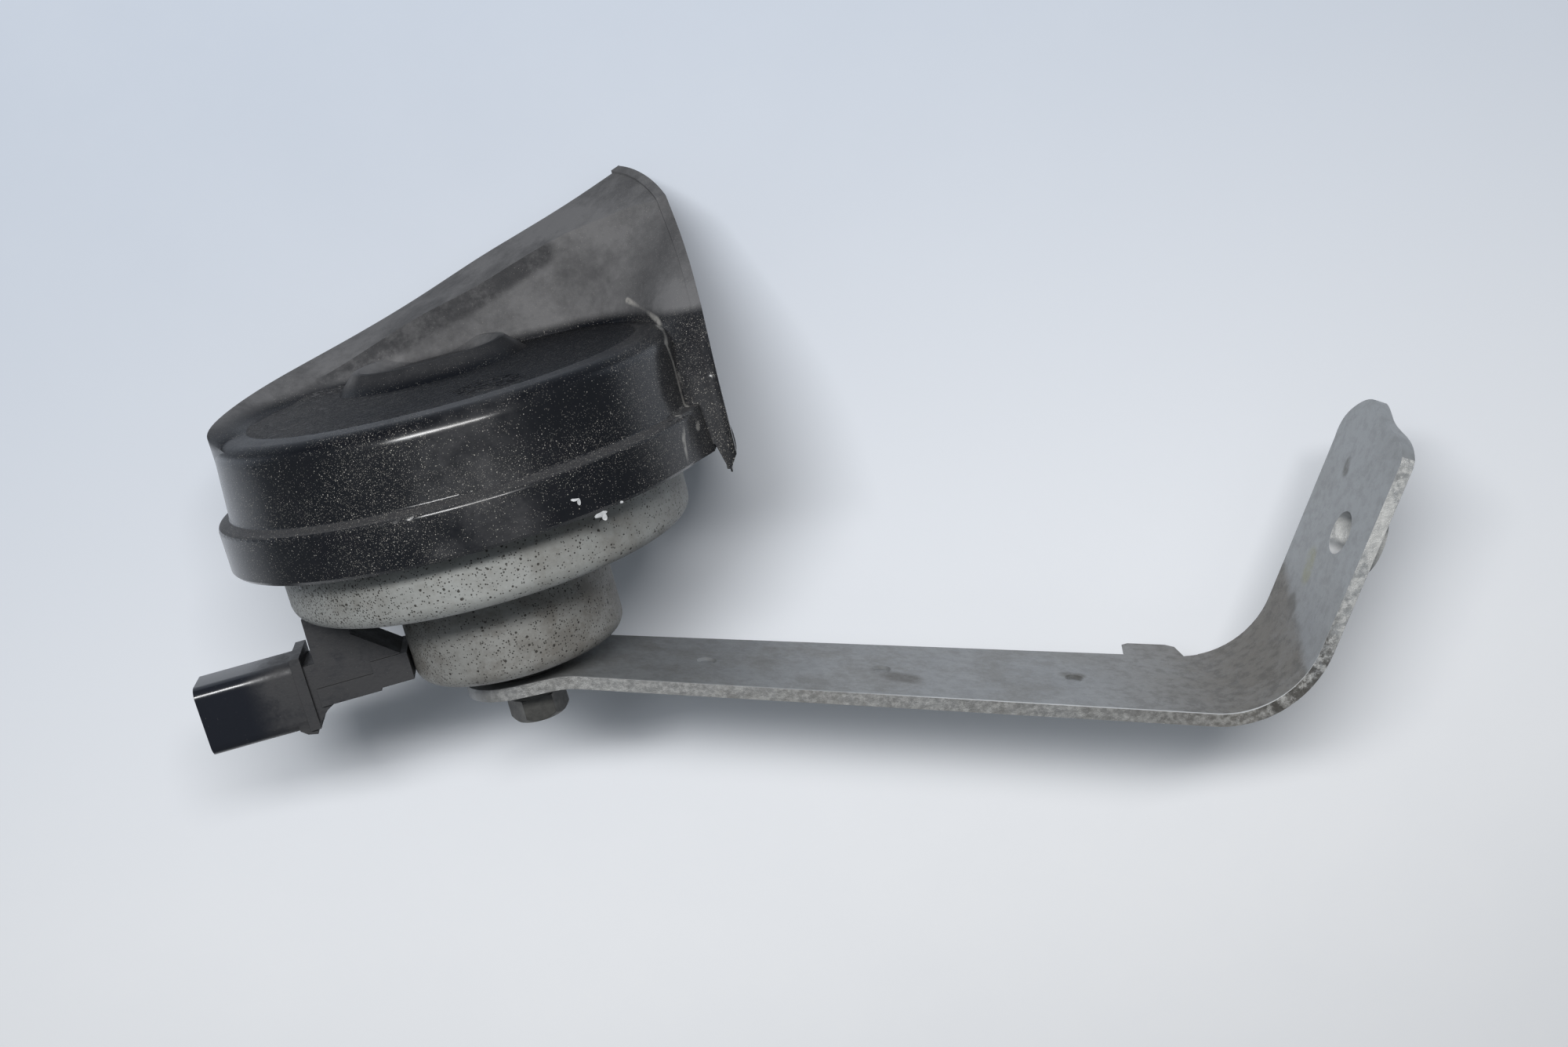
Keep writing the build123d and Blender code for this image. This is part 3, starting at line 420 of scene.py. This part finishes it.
# %% Where the dust lies
# Film scales count patches to the metre, and places are in millimetres from the axis.
plastic = Finish("trumpet plastic")
plastic.shader.inputs["Specular IOR Level"].default_value = 0.08
plastic.shader.inputs["Coat Roughness"].default_value = 0.20
UP_THE_AXIS = (0, 1, 0)
TO_THE_FRONT = (0, 0, 1)
disc_top = plastic.times(plastic.facing(UP_THE_AXIS, 0.80, 0.97),
                         plastic.within(plastic.y, 21.8, 24.0, 0.6))
leather = plastic.times(disc_top, plastic.past(plastic.radius, 36.1, 36.8, 1.0, 0.0))
mottle = plastic.film(75, 0.32, 0.64)
cloud = plastic.film(26, 0.38, 0.62)
above_disc = plastic.past(plastic.y, 23.6, 26.0)
print("trumpet dust starts from", len(plastic.tree.nodes), "nodes")

# %% Duct walls
# The duct's wall is dusty, but less so on the hub, and darker under its ridge: painted shade.
RIDGE_POINTS = [(19, 39.2, -30), (3, 33.6, -29), (-14, 29.2, -26), (-24, 26.8, -24),
                (-31, 25, -20)]
# Painted shade: a band under the ridge gets less of the pale dust, so it renders darker.
painted_ridge_shade = plastic.times(plastic.worn_run(RIDGE_POINTS, 3.8),
                            plastic.facing(TO_THE_FRONT, 0.35, 0.75))
painted_ridge_shade = plastic.times(painted_ridge_shade,
                            plastic.uneven(plastic.film(110, 0.35, 0.6), 0.25, 0.75))
clouded = plastic.plus(plastic.times(mottle, 0.30), plastic.times(cloud, 0.45))
walls = plastic.plus(0.46, clouded)
walls = plastic.times(walls, plastic.less(painted_ridge_shade, least=0.40))
walls = plastic.times(above_disc, walls)
walls = plastic.times(walls, plastic.past(plastic.radius, 17.0, 22.0, 0.22, 1.0))
print("painted ridge shade follows", len(RIDGE_POINTS), "points")

# %% Dust on the other faces
front = plastic.times(plastic.past(plastic.x, 42.4, 43.4), plastic.uneven(mottle, 0.02, 0.11))
corner = plastic.times(plastic.past(plastic.x, 32.0, 39.0), plastic.uneven(mottle, 0.02, 0.13))
ledge = plastic.times(plastic.facing(UP_THE_AXIS, 0.35, 0.9),
                      plastic.within(plastic.y, 8.0, 10.5, 2.0))
# Partly real haze, partly painted sheen: a pale patch on the front of the side wall, where the
# lamp's sheen falls.
haze_and_painted_sheen = plastic.times(plastic.within(plastic.x, 3, 15, 6), plastic.past(plastic.z, 25, 38))
haze_and_painted_sheen = plastic.times(haze_and_painted_sheen, plastic.times(cloud, plastic.uneven(mottle, 0.5, 0.5)))
sides = plastic.plus(plastic.times(plastic.film(24, 0.45, 0.7), 0.05), plastic.times(haze_and_painted_sheen, 0.30))
settled = plastic.times(leather, plastic.past(plastic.x, -36, 4, 0.46, 0.02))
settled = plastic.times(settled, plastic.uneven(mottle, 0.6, 0.4))
# Mostly real dust, but this mask also carries the painted sheen patch and the painted shade under
# the ridge.
dust_and_painted_light = walls
for layer in (front, corner, plastic.times(ledge, 0.30), sides, settled):
    dust_and_painted_light = plastic.most(dust_and_painted_light, layer)
print("dust has six layers")

# %% Specks and rubbed creases
low_band = plastic.within(plastic.y, 8.5, 12.0, 6.0)
left_front = plastic.times(plastic.within(plastic.x, -13, 1, 6), plastic.past(plastic.z, 30, 38))
patchy = plastic.film(38, 0.36, 0.60)
crowd = plastic.most(plastic.times(low_band, 0.8), plastic.past(plastic.x, 30.0, 38.0))
crowd = plastic.most(crowd, left_front)
crowd = plastic.most(crowd, plastic.times(patchy, 0.55))
crowd = plastic.times(crowd, plastic.film(90, 0.25, 0.55))
fine_specks = plastic.dots(2700, plastic.uneven(crowd, 0.02, 0.42), 0.32)
tiny_specks = plastic.dots(5600, plastic.uneven(crowd, 0.05, 0.75), 0.38)
specks = plastic.most(plastic.times(fine_specks, 0.70), plastic.times(tiny_specks, 0.55))
specks = plastic.times(specks, plastic.past(plastic.y, 22.5, 26.0, 1.0, 0.25))
CREASE_POINTS = [(34.5, 27.1, -20.8), (40.5, 23.7, -6.6), (42.3, 20.6, 7.5), (42.7, 17.5, 7.2),
                 (42.8, 13.2, 8.3), (43.0, 9.6, 9.1), (44.6, 5.6, 13.2)]
CORNER_POINTS = [(42.0, 9.1, 16.4), (42.2, 5.3, 19.1), (42.6, 0.5, 20.0)]
RUB_WIDTH = 0.8
rubbed = plastic.most(plastic.worn_run(CREASE_POINTS, RUB_WIDTH),
                      plastic.worn_run(CORNER_POINTS, RUB_WIDTH))
rubbed = plastic.times(rubbed, plastic.film(420, 0.30, 0.55))
print("rubbed lines:", len(CREASE_POINTS), "and", len(CORNER_POINTS), "points")

# %% Hide texture of the disc
# Soft dents about a millimetre wide, with dust in the low places.
hide = put(plastic.tree, "ShaderNodeTexNoise",
           {"Vector": plastic.place, "Scale": 1000.0, "Detail": 2.0, "Roughness": 0.6})
hide = ramp(plastic.tree, hide.outputs[0], 0.34, 0.66)
pores = plastic.times(leather, ramp(plastic.tree, hide, 0.0, 0.6, 1.0, 0.0))
dust_and_painted_light = plastic.most(dust_and_painted_light, plastic.times(pores, plastic.past(plastic.x, -36, 10, 0.60, 0.07)))
print("hide texture laid on the disc")

# %% Trumpet plastic
colour = plastic.over((0.0050, 0.0058, 0.0080, 1), dust_and_painted_light, (0.142, 0.141, 0.144))
colour = plastic.over(colour, specks, (0.46, 0.44, 0.40))
colour = plastic.over(colour, plastic.times(rubbed, 0.8), (0.33, 0.32, 0.30))
grain = plastic.grain(2600, 0.32, 0.14)
roughness = plastic.plus(grain["Roughness"], plastic.times(dust_and_painted_light, 0.40))
roughness = plastic.plus(roughness, plastic.times(patchy, 0.08))
roughness = plastic.plus(roughness, plastic.times(above_disc, 0.26))
roughness = math_node(plastic.tree, "ADD", roughness, plastic.times(leather, 0.26), clamp=True)
relief = plastic.plus(plastic.times(grain["Height"], 0.05), plastic.times(leather, hide))
relief = plastic.plus(relief, plastic.times(specks, 0.06))
trumpet_plastic = plastic.close(colour, roughness, relief, 0.35 * MM)

# %% Sheen on the clean sides
# A coat gives the tight highlight of bare plastic. It fades on dust, specks, the
# disc's hide and everything above it.
clean = plastic.less(plastic.plus(plastic.times(dust_and_painted_light, 1.4), leather), full=0.75)
clean = plastic.times(clean, ramp(plastic.tree, specks, 0.0, 0.6, 1.0, 0.2))
clean = plastic.times(clean, plastic.past(plastic.y, 22.0, 24.0, 1.0, 0.0))
clean = plastic.times(clean, plastic.less(plastic.facing(UP_THE_AXIS, 0.40, 0.75)))
plastic.tree.links.new(clean, plastic.shader.inputs["Coat Weight"])
print("trumpet plastic has", len(plastic.tree.nodes), "nodes")

# %% [markdown]
# ## Dull zinc
# The pan and the bracket are zinc plated. Fresh zinc is bright, but this has turned to
# a flat grey, with dark pits and a brownish film. The strip's sheared edges are
# brighter than its faces, partly bare metal and partly painted glints and highlights.

# %% Pan zinc
# The coil cup, below the pan, is browner. Pits crowd at the connector's end.
zinc = Finish("pan zinc", metallic=0.2)
pitted = zinc.plus(0.11, zinc.past(zinc.x, -36, -5, 0.65, 0.0))
pitted = zinc.times(zinc.plus(pitted, 0.10), zinc.film(50, 0.2, 0.6))
pits = zinc.most(zinc.dots(1250, pitted, 0.42), zinc.dots(2600, zinc.times(pitted, 2.2), 0.50))
brown = zinc.most(zinc.film(30, 0.40, 0.66), zinc.times(zinc.film(95, 0.46, 0.66), 0.7))
on_cup = zinc.past(zinc.y, -17, -13, 0.90, 0.0)
pale = zinc.times(zinc.film(170, 0.40, 0.62), 0.40)
colour = zinc.over((0.290, 0.300, 0.290, 1), on_cup, (0.165, 0.160, 0.148))
colour = zinc.over(colour, zinc.times(brown, 0.75), (0.150, 0.138, 0.120))
colour = zinc.over(colour, pale, (0.36, 0.37, 0.36))
colour = zinc.over(colour, zinc.times(pits, 0.95), (0.030, 0.027, 0.023))
grain = zinc.grain(1800, 0.55, 0.25)
relief = zinc.plus(zinc.times(grain["Height"], 0.25), zinc.times(pits, -0.8))
pan_zinc = zinc.close(colour, grain["Roughness"], relief, 0.10 * MM)
print("pan zinc has", len(zinc.tree.nodes), "nodes")

# %% Bracket faces
# A thin brown stain covers the bend and stops at a tide line on the arm.
strip = Finish("bracket zinc", metallic=0.35)
tide_run = strip.plus(strip.x, strip.times(strip.z, 0.22))
bend = strip.times(strip.past(strip.x, 98, 132), strip.past(tide_run, 145.0, 147.2, 1.0, 0.0))
stain = strip.times(bend, strip.uneven(strip.film(70, 0.3, 0.6), 0.55, 0.45))
flecks = strip.times(strip.film(420, 0.46, 0.60), strip.uneven(bend, 0.22, 0.5))
smears = strip.times(strip.film(85, 0.42, 0.62), strip.past(strip.x, 90, 120, 0.62, 0.2))
colour = strip.over((0.225, 0.235, 0.245, 1), strip.film(22, 0.35, 0.7), (0.290, 0.300, 0.305))
colour = strip.over(colour, strip.past(strip.x, 145, 153, 0.0, 0.8), (0.330, 0.345, 0.355))
colour = strip.over(colour, smears, (0.160, 0.158, 0.148))
colour = strip.over(colour, strip.times(stain, 0.85), (0.118, 0.105, 0.085))
colour = strip.over(colour, strip.times(flecks, 0.75), (0.050, 0.046, 0.040))
print("stain stops about 146 mm from the axis")

# %% Blots on the bracket
# Each blot is a short run and a width. The last mark is a yellow-green bloom.
BLOTS = [((68, -52, 4), (71, -53, 5), 3.6),
         ((147.2, -58.8, -5.4), (146.8, -59.4, -3.8), 2.6),
         ((162.4, -34.2, -5.8), (161.6, -35.5, -5.4), 1.8),
         ((101.0, -62.0, -1.9), (103.2, -62.6, -1.5), 2.1)]
for start, end, width in BLOTS:
    blot = strip.times(strip.rubbed(start, end, width), strip.film(260, 0.25, 0.6))
    colour = strip.over(colour, strip.times(blot, 0.8), (0.075, 0.070, 0.060))
bloom = strip.times(strip.rubbed((152.2, -50.6, -4.6), (150.6, -53.2, -3.4), 3.0),
                    strip.film(200, 0.3, 0.6))
colour = strip.over(colour, strip.times(bloom, 0.5), (0.25, 0.25, 0.12))
print("blots:", len(BLOTS))

# %% Sheared edges and the hole
# The sheared edges are bare and bright towards the far end, with painted glints, and
# are dark where the bend has cracked the plating. A thin painted highlight runs along
# the strip's near edge.
edge = strip.plus(strip.facing(TO_THE_FRONT, 0.75, 0.95), strip.facing((0, 0, -1), 0.75, 0.95))
brink = strip.plus(strip.z, strip.times(strip.x, -0.034))
# Painted highlight: a thin bright line along the strip's near edge, where its rounded edge catches
# the lamp.
painted_edge_highlight = strip.times(strip.past(brink, 11.7, 12.05), strip.past(strip.x, 55, 85, 0.3, 1.0))
painted_edge_highlight = strip.times(painted_edge_highlight, strip.film(260, 0.25, 0.45))
painted_edge_highlight = strip.times(strip.times(painted_edge_highlight, strip.less(edge)), 0.8)
# Partly real, partly painted light: bare sheared metal, with painted glints that grow towards the
# far end.
bare_edge_and_painted_glint = strip.times(strip.uneven(strip.film(900, 0.42, 0.60), 0.10, 0.60),
                      strip.past(strip.x, 120, 148, 0.42, 1.0))
bare_end_and_painted_glint = strip.times(strip.within(strip.x, 157, 162.5, 1.0),
                         strip.uneven(strip.film(600, 0.4, 0.6), 0.55, 0.3))
bare_edge_and_painted_glint = strip.most(bare_edge_and_painted_glint, bare_end_and_painted_glint)
cracked = strip.times(strip.within(strip.x, 136, 146, 5), strip.film(300, 0.42, 0.54))
colour = strip.over(colour, painted_edge_highlight, (0.70, 0.71, 0.71))
dulled = strip.times(edge, strip.past(strip.x, 120, 148, 0.45, 0.1))
colour = strip.over(colour, dulled, (0.135, 0.130, 0.122))
colour = strip.over(colour, strip.times(edge, bare_edge_and_painted_glint), (0.66, 0.66, 0.64))
colour = strip.over(colour, strip.times(strip.times(edge, cracked), 0.85), (0.060, 0.056, 0.050))
# Painted highlight: the inside of the mounting hole is painted near white, as if lit.
painted_bore_highlight = strip.rubbed((154, -42.8, 3.9), (159.5, -46.2, 3.9), 9.0)
flank = strip.plus(strip.facing((-0.851, 0.525, 0), 0.6, 0.9),
                   strip.facing((0.851, -0.525, 0), 0.6, 0.9))
painted_bore_highlight = strip.times(strip.times(painted_bore_highlight, strip.less(flank)), strip.facing((0, 0.6, -0.8), -0.4, 0.2))
colour = strip.over(colour, painted_bore_highlight, (0.80, 0.80, 0.80))
grain = strip.grain(1500, 0.42, 0.22)
burr = strip.times(edge, strip.film(700, 0.3, 0.7))
relief = strip.plus(strip.times(grain["Height"], 0.25), burr)
bracket_zinc = strip.close(colour, grain["Roughness"], relief, 0.08 * MM)
print("bracket zinc has", len(strip.tree.nodes), "nodes")

# %% [markdown]
# ## Connector, bolt and the pieces inside
# The connector is a glossier black plastic. The bolt and washers are dark plated
# steel. Pieces inside the pan are seldom seen, but each gets its own metal, rubber or
# wire finish, from one recipe with different values.

# %% Connector plastic
gloss = Finish("connector plastic")
rear_dust = gloss.uneven(gloss.film(120, 0.35, 0.6), 0.40, 0.55)
rear_dust = gloss.times(gloss.past(gloss.x, -50.5, -43.5), rear_dust)
# The base is the plastic's near-black, tinted bluer and lighter as a painted reflection of the sky.
colour = gloss.over((0.0090, 0.0105, 0.0155, 1), gloss.times(rear_dust, 0.60),
                    (0.043, 0.042, 0.042))
colour = gloss.over(colour, gloss.times(gloss.dots(4000, 0.06, 0.3), 0.3), (0.2, 0.19, 0.18))
grain = gloss.grain(1800, 0.20, 0.14)
roughness = math_node(gloss.tree, "ADD", grain["Roughness"], gloss.times(rear_dust, 0.45),
                      clamp=True)
relief = gloss.times(grain["Height"], gloss.plus(0.12, rear_dust))
connector_plastic = gloss.close(colour, roughness, relief, 0.03 * MM)
print("connector plastic has", len(gloss.tree.nodes), "nodes")

# %% One recipe for the plain finishes
def plain(name, low, high, metallic, base, spread, patches=60, grains=1500, depth=0.00002):
    """Two shades of one colour in soft patches, with grain in gloss and surface."""
    finish = Finish(name, metallic)
    shade = finish.over((*low, 1), finish.film(patches, 0.35, 0.65), high)
    tooth = finish.grain(grains, base, spread)
    return finish.close(shade, tooth["Roughness"], tooth["Height"], depth)


FINISH_OF_SLOT = {
    "black_housing": trumpet_plastic,
    "pan_zinc": pan_zinc,
    "bracket_zinc": bracket_zinc,
    "connector_black": connector_plastic,
    "dark_steel": plain("dark plated steel", (0.05, 0.05, 0.05), (0.13, 0.128, 0.12),
                        0.7, 0.42, 0.2),
    "bare_steel": plain("bare steel", (0.30, 0.30, 0.30), (0.42, 0.42, 0.41), 0.9, 0.35, 0.2),
    "spring_steel": plain("spring steel", (0.25, 0.25, 0.26), (0.33, 0.33, 0.34),
                          0.9, 0.3, 0.15),
    "gasket": plain("gasket fibre", (0.035, 0.03, 0.025), (0.06, 0.052, 0.045),
                    0.0, 0.85, 0.1),
    "bobbin_plastic": plain("phenolic plastic", (0.30, 0.22, 0.12), (0.38, 0.29, 0.17),
                            0.0, 0.55, 0.1),
    "copper_wire": plain("enamelled wire", (0.32, 0.10, 0.03), (0.45, 0.17, 0.06),
                         0.6, 0.35, 0.1),
    "terminal_brass": plain("tinned brass", (0.42, 0.39, 0.32), (0.55, 0.52, 0.44),
                            0.9, 0.3, 0.15),
    "contact_silver": plain("contact metal", (0.55, 0.55, 0.55), (0.7, 0.7, 0.68),
                            0.9, 0.25, 0.1),
    "resistor_body": plain("resistor lacquer", (0.16, 0.10, 0.06), (0.24, 0.16, 0.10),
                           0.0, 0.4, 0.1),
}
SLOT_OF_NODE = {s["node"]: s["material_slot"] for s in frame["record"]["subparts"]}
for name, piece in frame["nodes"].items():
    piece.data.materials.clear()
    piece.data.materials.append(FINISH_OF_SLOT[SLOT_OF_NODE[name]])
print("finished", len(frame["nodes"]), "CAD nodes in", len(FINISH_OF_SLOT), "materials")

# %% Table finish
# Painted light: the table is a little brighter towards the front, where more light falls.
ground = Finish("table top")
painted_light_to_front = ground.past(ground.y, 110, -150)
ground_colour = ground.over((0.52, 0.57, 0.65, 1), painted_light_to_front, (0.97, 0.98, 1.0))
faint_cloud = ground.times(ground.film(4, 0.3, 0.7), 0.15)
ground_colour = ground.over(ground_colour, faint_cloud, (0.72, 0.76, 0.82))
ground_grain = ground.grain(300, 0.9, 0.05)
table_mesh.materials.append(ground.close(ground_colour, ground_grain["Roughness"]))
print("table finish has", len(ground.tree.nodes), "nodes")

# %% [markdown]
# ## Smooth skins over the solids
# The frame's meshes are flat triangles. Round mouldings and pressings need smooth
# shading with crisp creases, and sheared metal needs a small rounded edge that
# catches light. Each piece that shows gets a skin: its own mesh, welded, shaded
# smooth up to a crease angle.

# %% Skins
CREASE = radians(20)
FLAT_ANGLE = radians(0.6)
WELD_DISTANCE = 2e-6
EDGE_ROUND = 0.15 * MM


def skin(node, rounded=0.0):
    """A welded, smooth-shaded copy of a CAD node that stands for it."""
    source = frame["nodes"][node]
    shape = bmesh.new()
    shape.from_mesh(source.data)
    bmesh.ops.remove_doubles(shape, verts=shape.verts, dist=WELD_DISTANCE)
    if rounded:
        bmesh.ops.dissolve_limit(shape, angle_limit=FLAT_ANGLE, verts=shape.verts,
                                 edges=shape.edges)
    for face in shape.faces:
        face.smooth = True
    for line in shape.edges:
        line.smooth = line.is_manifold and line.calc_face_angle() < CREASE
    mesh = bpy.data.meshes.new(node + "_skin")
    shape.to_mesh(mesh)
    shape.free()
    mesh.materials.append(FINISH_OF_SLOT[SLOT_OF_NODE[node]])
    piece = bpy.data.objects.new(node + "_skin", mesh)
    bpy.context.scene.collection.objects.link(piece)
    if rounded:
        edge_round = piece.modifiers.new("edge round", "BEVEL")
        edge_round.width = rounded
        edge_round.segments = 2
        edge_round.limit_method = "ANGLE"
        edge_round.angle_limit = CREASE
        edge_round.harden_normals = True
    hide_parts(node)
    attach(piece, "root")
    print(node, "skin has", len(mesh.polygons), "faces")
    return piece


for node in ("trumpet_cover", "housing_pan", "crimp_ring", "trumpet_base"):
    skin(node)
for node in ("bracket", "connector_housing", "fixing_bolt", "spring_washer", "plain_washer",
             "spacer_washer", "adjusting_screw"):
    skin(node, rounded=EDGE_ROUND)

# %% [markdown]
# ## A date dial on the disc
# Mouldings often carry a small raised dial that shows when they were made. Here it is
# plain: two rings, twelve ticks and a pointer. The ticks repeat round a circle, so
# Geometry Nodes place them, from a circle's points turned to face outwards.

# %% Geometry Nodes helpers


def node_recipe(name, inputs):
    """An empty Geometry Nodes tree with named inputs and one geometry out."""
    kinds = {"length": "NodeSocketFloat", "number": "NodeSocketFloat", "count": "NodeSocketInt",
             "material": "NodeSocketMaterial", "geometry": "NodeSocketGeometry"}
    tree = bpy.data.node_groups.new(name, "GeometryNodeTree")
    for label, kind in inputs:
        tree.interface.new_socket(label, in_out="INPUT", socket_type=kinds[kind])
    tree.interface.new_socket("Geometry", in_out="OUTPUT", socket_type="NodeSocketGeometry")
    return tree, put(tree, "NodeGroupInput").outputs, put(tree, "NodeGroupOutput").inputs


def close_recipe(tree, parts, material, leave):
    """Join the parts, realize instances, set the material and put the result out."""
    joined = put(tree, "GeometryNodeJoinGeometry")
    for part in parts:
        tree.links.new(part, joined.inputs[0])
    solid = put(tree, "GeometryNodeRealizeInstances", {0: joined.outputs[0]})
    shown = put(tree, "GeometryNodeSetMaterial",
                {"Geometry": solid.outputs[0], "Material": material})
    tree.links.new(shown.outputs[0], leave[0])


def grow(name, base, tree, values):
    """Run a recipe on a base mesh and return the result as a plain mesh object."""
    holder = bpy.data.objects.new(name + "_seed", base)
    bpy.context.scene.collection.objects.link(holder)
    recipe = holder.modifiers.new("recipe", "NODES")
    recipe.node_group = tree
    for socket in tree.interface.items_tree:
        if socket.in_out == "INPUT" and socket.name in values:
            recipe[socket.identifier] = values[socket.name]
    state = bpy.context.evaluated_depsgraph_get()
    mesh = bpy.data.meshes.new_from_object(holder.evaluated_get(state), depsgraph=state)
    mesh.name = name
    holder.modifiers.remove(recipe)
    bpy.data.objects.remove(holder)
    piece = bpy.data.objects.new(name, mesh)
    bpy.context.scene.collection.objects.link(piece)
    print(name, "has", len(mesh.polygons), "faces")
    return piece

# %% Dial recipe
dial_tree, dial_in, dial_out = node_recipe(
    "date dial", [("Base", "geometry"), ("Radius", "length"), ("Ticks", "count"),
                  ("Line", "length"), ("Material", "material")])
section = put(dial_tree, "GeometryNodeCurvePrimitiveCircle",
              {"Resolution": 8, "Radius": math_node(dial_tree, "MULTIPLY", dial_in["Line"], 0.5)})
marks = []
for part_of_radius in (1.0, 0.52):
    loop = put(dial_tree, "GeometryNodeCurvePrimitiveCircle",
               {"Resolution": 48,
                "Radius": math_node(dial_tree, "MULTIPLY", dial_in["Radius"], part_of_radius)})
    ring = put(dial_tree, "GeometryNodeCurveToMesh",
               {"Curve": loop.outputs["Curve"], "Profile Curve": section.outputs["Curve"]})
    marks.append(ring.outputs[0])
tick_circle = put(dial_tree, "GeometryNodeMeshCircle",
                  {"Vertices": dial_in["Ticks"],
                   "Radius": math_node(dial_tree, "MULTIPLY", dial_in["Radius"], 0.77)})
tick_size = put(dial_tree, "ShaderNodeCombineXYZ",
                {0: math_node(dial_tree, "MULTIPLY", dial_in["Radius"], 0.26),
                 1: dial_in["Line"], 2: dial_in["Line"]})
tick = put(dial_tree, "GeometryNodeMeshCube", {"Size": tick_size.outputs[0]})
outward = put(dial_tree, "FunctionNodeAlignRotationToVector",
              {"Vector": put(dial_tree, "GeometryNodeInputPosition").outputs[0]}, axis="X")
ticks = put(dial_tree, "GeometryNodeInstanceOnPoints",
            {"Points": tick_circle.outputs["Mesh"], "Instance": tick.outputs["Mesh"],
             "Rotation": outward.outputs[0]})
marks.append(ticks.outputs[0])
pointer_size = put(dial_tree, "ShaderNodeCombineXYZ",
                   {0: math_node(dial_tree, "MULTIPLY", dial_in["Radius"], 0.8),
                    1: math_node(dial_tree, "MULTIPLY", dial_in["Line"], 1.6), 2: dial_in["Line"]})
pointer = put(dial_tree, "GeometryNodeMeshCube", {"Size": pointer_size.outputs[0]})
marks.append(pointer.outputs["Mesh"])
close_recipe(dial_tree, marks, dial_in["Material"], dial_out)
print("dial recipe joins", len(marks), "parts")

# %% Date dial
# The recipe lies flat, so the mesh is turned to face up the axis and set on the disc.
DIAL_PLACE = (12.6, 23.4, 24.0)
DIAL_RADIUS = 6.4 * MM
DIAL_LINE = 0.26 * MM
dial = grow("date_dial", bpy.data.meshes.new("dial seed"), dial_tree,
            {"Radius": DIAL_RADIUS, "Ticks": 12, "Line": DIAL_LINE, "Material": trumpet_plastic})
face_up_the_axis = Matrix.Rotation(-pi / 2, 4, "X")
dial.data.transform(Matrix.Translation(from_axis(*DIAL_PLACE)) @ face_up_the_axis)
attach(dial, "root")

# %% [markdown]
# ## Chips of old paint
# A few white chips cling to the lower edge of the skirt. Each is a thin, uneven flake.
# A recipe sets a twelve-sided flake on every seed point, turned to the wall there, and
# pushes its outline about with noise, so that no two are alike.

# %% Chip recipe
chip_tree, chip_in, chip_out = node_recipe(
    "paint chips", [("Base", "geometry"), ("Thickness", "length"), ("Unevenness", "length"),
                    ("Seed", "number"), ("Material", "material")])
scale_face = put(chip_tree, "GeometryNodeMeshCircle", {"Vertices": 12, "Radius": 1.0},
                 fill_type="NGON")
wall_normal = put(chip_tree, "GeometryNodeInputNamedAttribute", {"Name": "wall"},
                  data_type="FLOAT_VECTOR")
chip_size = put(chip_tree, "GeometryNodeInputNamedAttribute", {"Name": "size"},
                data_type="FLOAT_VECTOR")
flat_on = put(chip_tree, "FunctionNodeAlignRotationToVector",
              {"Vector": wall_normal.outputs[0]}, axis="Z")
laid = put(chip_tree, "GeometryNodeInstanceOnPoints",
           {"Points": chip_in["Base"], "Instance": scale_face.outputs["Mesh"],
            "Rotation": flat_on.outputs[0], "Scale": chip_size.outputs[0]})
real = put(chip_tree, "GeometryNodeRealizeInstances", {0: laid.outputs[0]})
ragged = put(chip_tree, "ShaderNodeTexNoise",
             {"W": chip_in["Seed"], "Scale": 900.0, "Detail": 1.0}, noise_dimensions="4D")
shove = put(chip_tree, "ShaderNodeVectorMath", {0: ragged.outputs["Color"], 1: (0.5, 0.5, 0.5)},
            operation="SUBTRACT")
shove = put(chip_tree, "ShaderNodeVectorMath", {0: shove.outputs[0], "Scale": chip_in["Unevenness"]},
            operation="SCALE")
uneven = put(chip_tree, "GeometryNodeSetPosition",
             {"Geometry": real.outputs[0], "Offset": shove.outputs[0]})
thick = put(chip_tree, "GeometryNodeExtrudeMesh",
            {"Mesh": uneven.outputs[0], "Offset Scale": chip_in["Thickness"]})
back_side = put(chip_tree, "GeometryNodeFlipFaces", {0: uneven.outputs[0]})
shell = put(chip_tree, "GeometryNodeJoinGeometry")
chip_tree.links.new(thick.outputs["Mesh"], shell.inputs[0])
chip_tree.links.new(back_side.outputs[0], shell.inputs[0])
merged = put(chip_tree, "GeometryNodeMergeByDistance",
             {"Geometry": shell.outputs[0], "Distance": 1e-6})
close_recipe(chip_tree, [merged.outputs[0]], chip_in["Material"], chip_out)
print("chip recipe has", len(chip_tree.nodes), "nodes")

# %% Paint chips
# Place, wall direction and half-sizes in millimetres, from the horn's axis.
CHIPS = [((24.7, 3.1, 39.3), (0.54, 0, 0.84), (0.35, 0.65)),
         ((24.2, 3.6, 39.6), (0.52, 0, 0.85), (0.6, 0.25)),
         ((27.3, -0.3, 37.5), (0.58, -0.1, 0.80), (1.25, 0.45)),
         ((27.8, -0.9, 37.2), (0.56, -0.1, 0.82), (0.5, 0.7)),
         ((30.8, 0.3, 34.7), (0.66, 0, 0.75), (0.32, 0.3)),
         ((-28.9, -3.3, 26.1), (-0.74, 0, 0.67), (0.6, 0.35))]
CHIP_THICKNESS = 0.12 * MM
CHIP_UNEVENNESS = 0.9 * MM
old_paint = plain("old white paint", (0.42, 0.43, 0.44), (0.60, 0.61, 0.62), 0.0, 0.7, 0.1,
                  patches=900, grains=3000)
chip_seed = bpy.data.meshes.new("chip seed")
chip_seed.from_pydata([from_axis(*place) for place, wall, half in CHIPS], [], [])
walls_at = chip_seed.attributes.new("wall", "FLOAT_VECTOR", "POINT")
sizes_at = chip_seed.attributes.new("size", "FLOAT_VECTOR", "POINT")
for number, (place, wall, half) in enumerate(CHIPS):
    walls_at.data[number].vector = wall
    sizes_at.data[number].vector = (half[0] * MM, half[1] * MM, MM)
chips = grow("paint_chips", chip_seed, chip_tree,
             {"Thickness": CHIP_THICKNESS, "Unevenness": CHIP_UNEVENNESS, "Seed": 4.0,
              "Material": old_paint})
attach(chips, "root")

# %% [markdown]
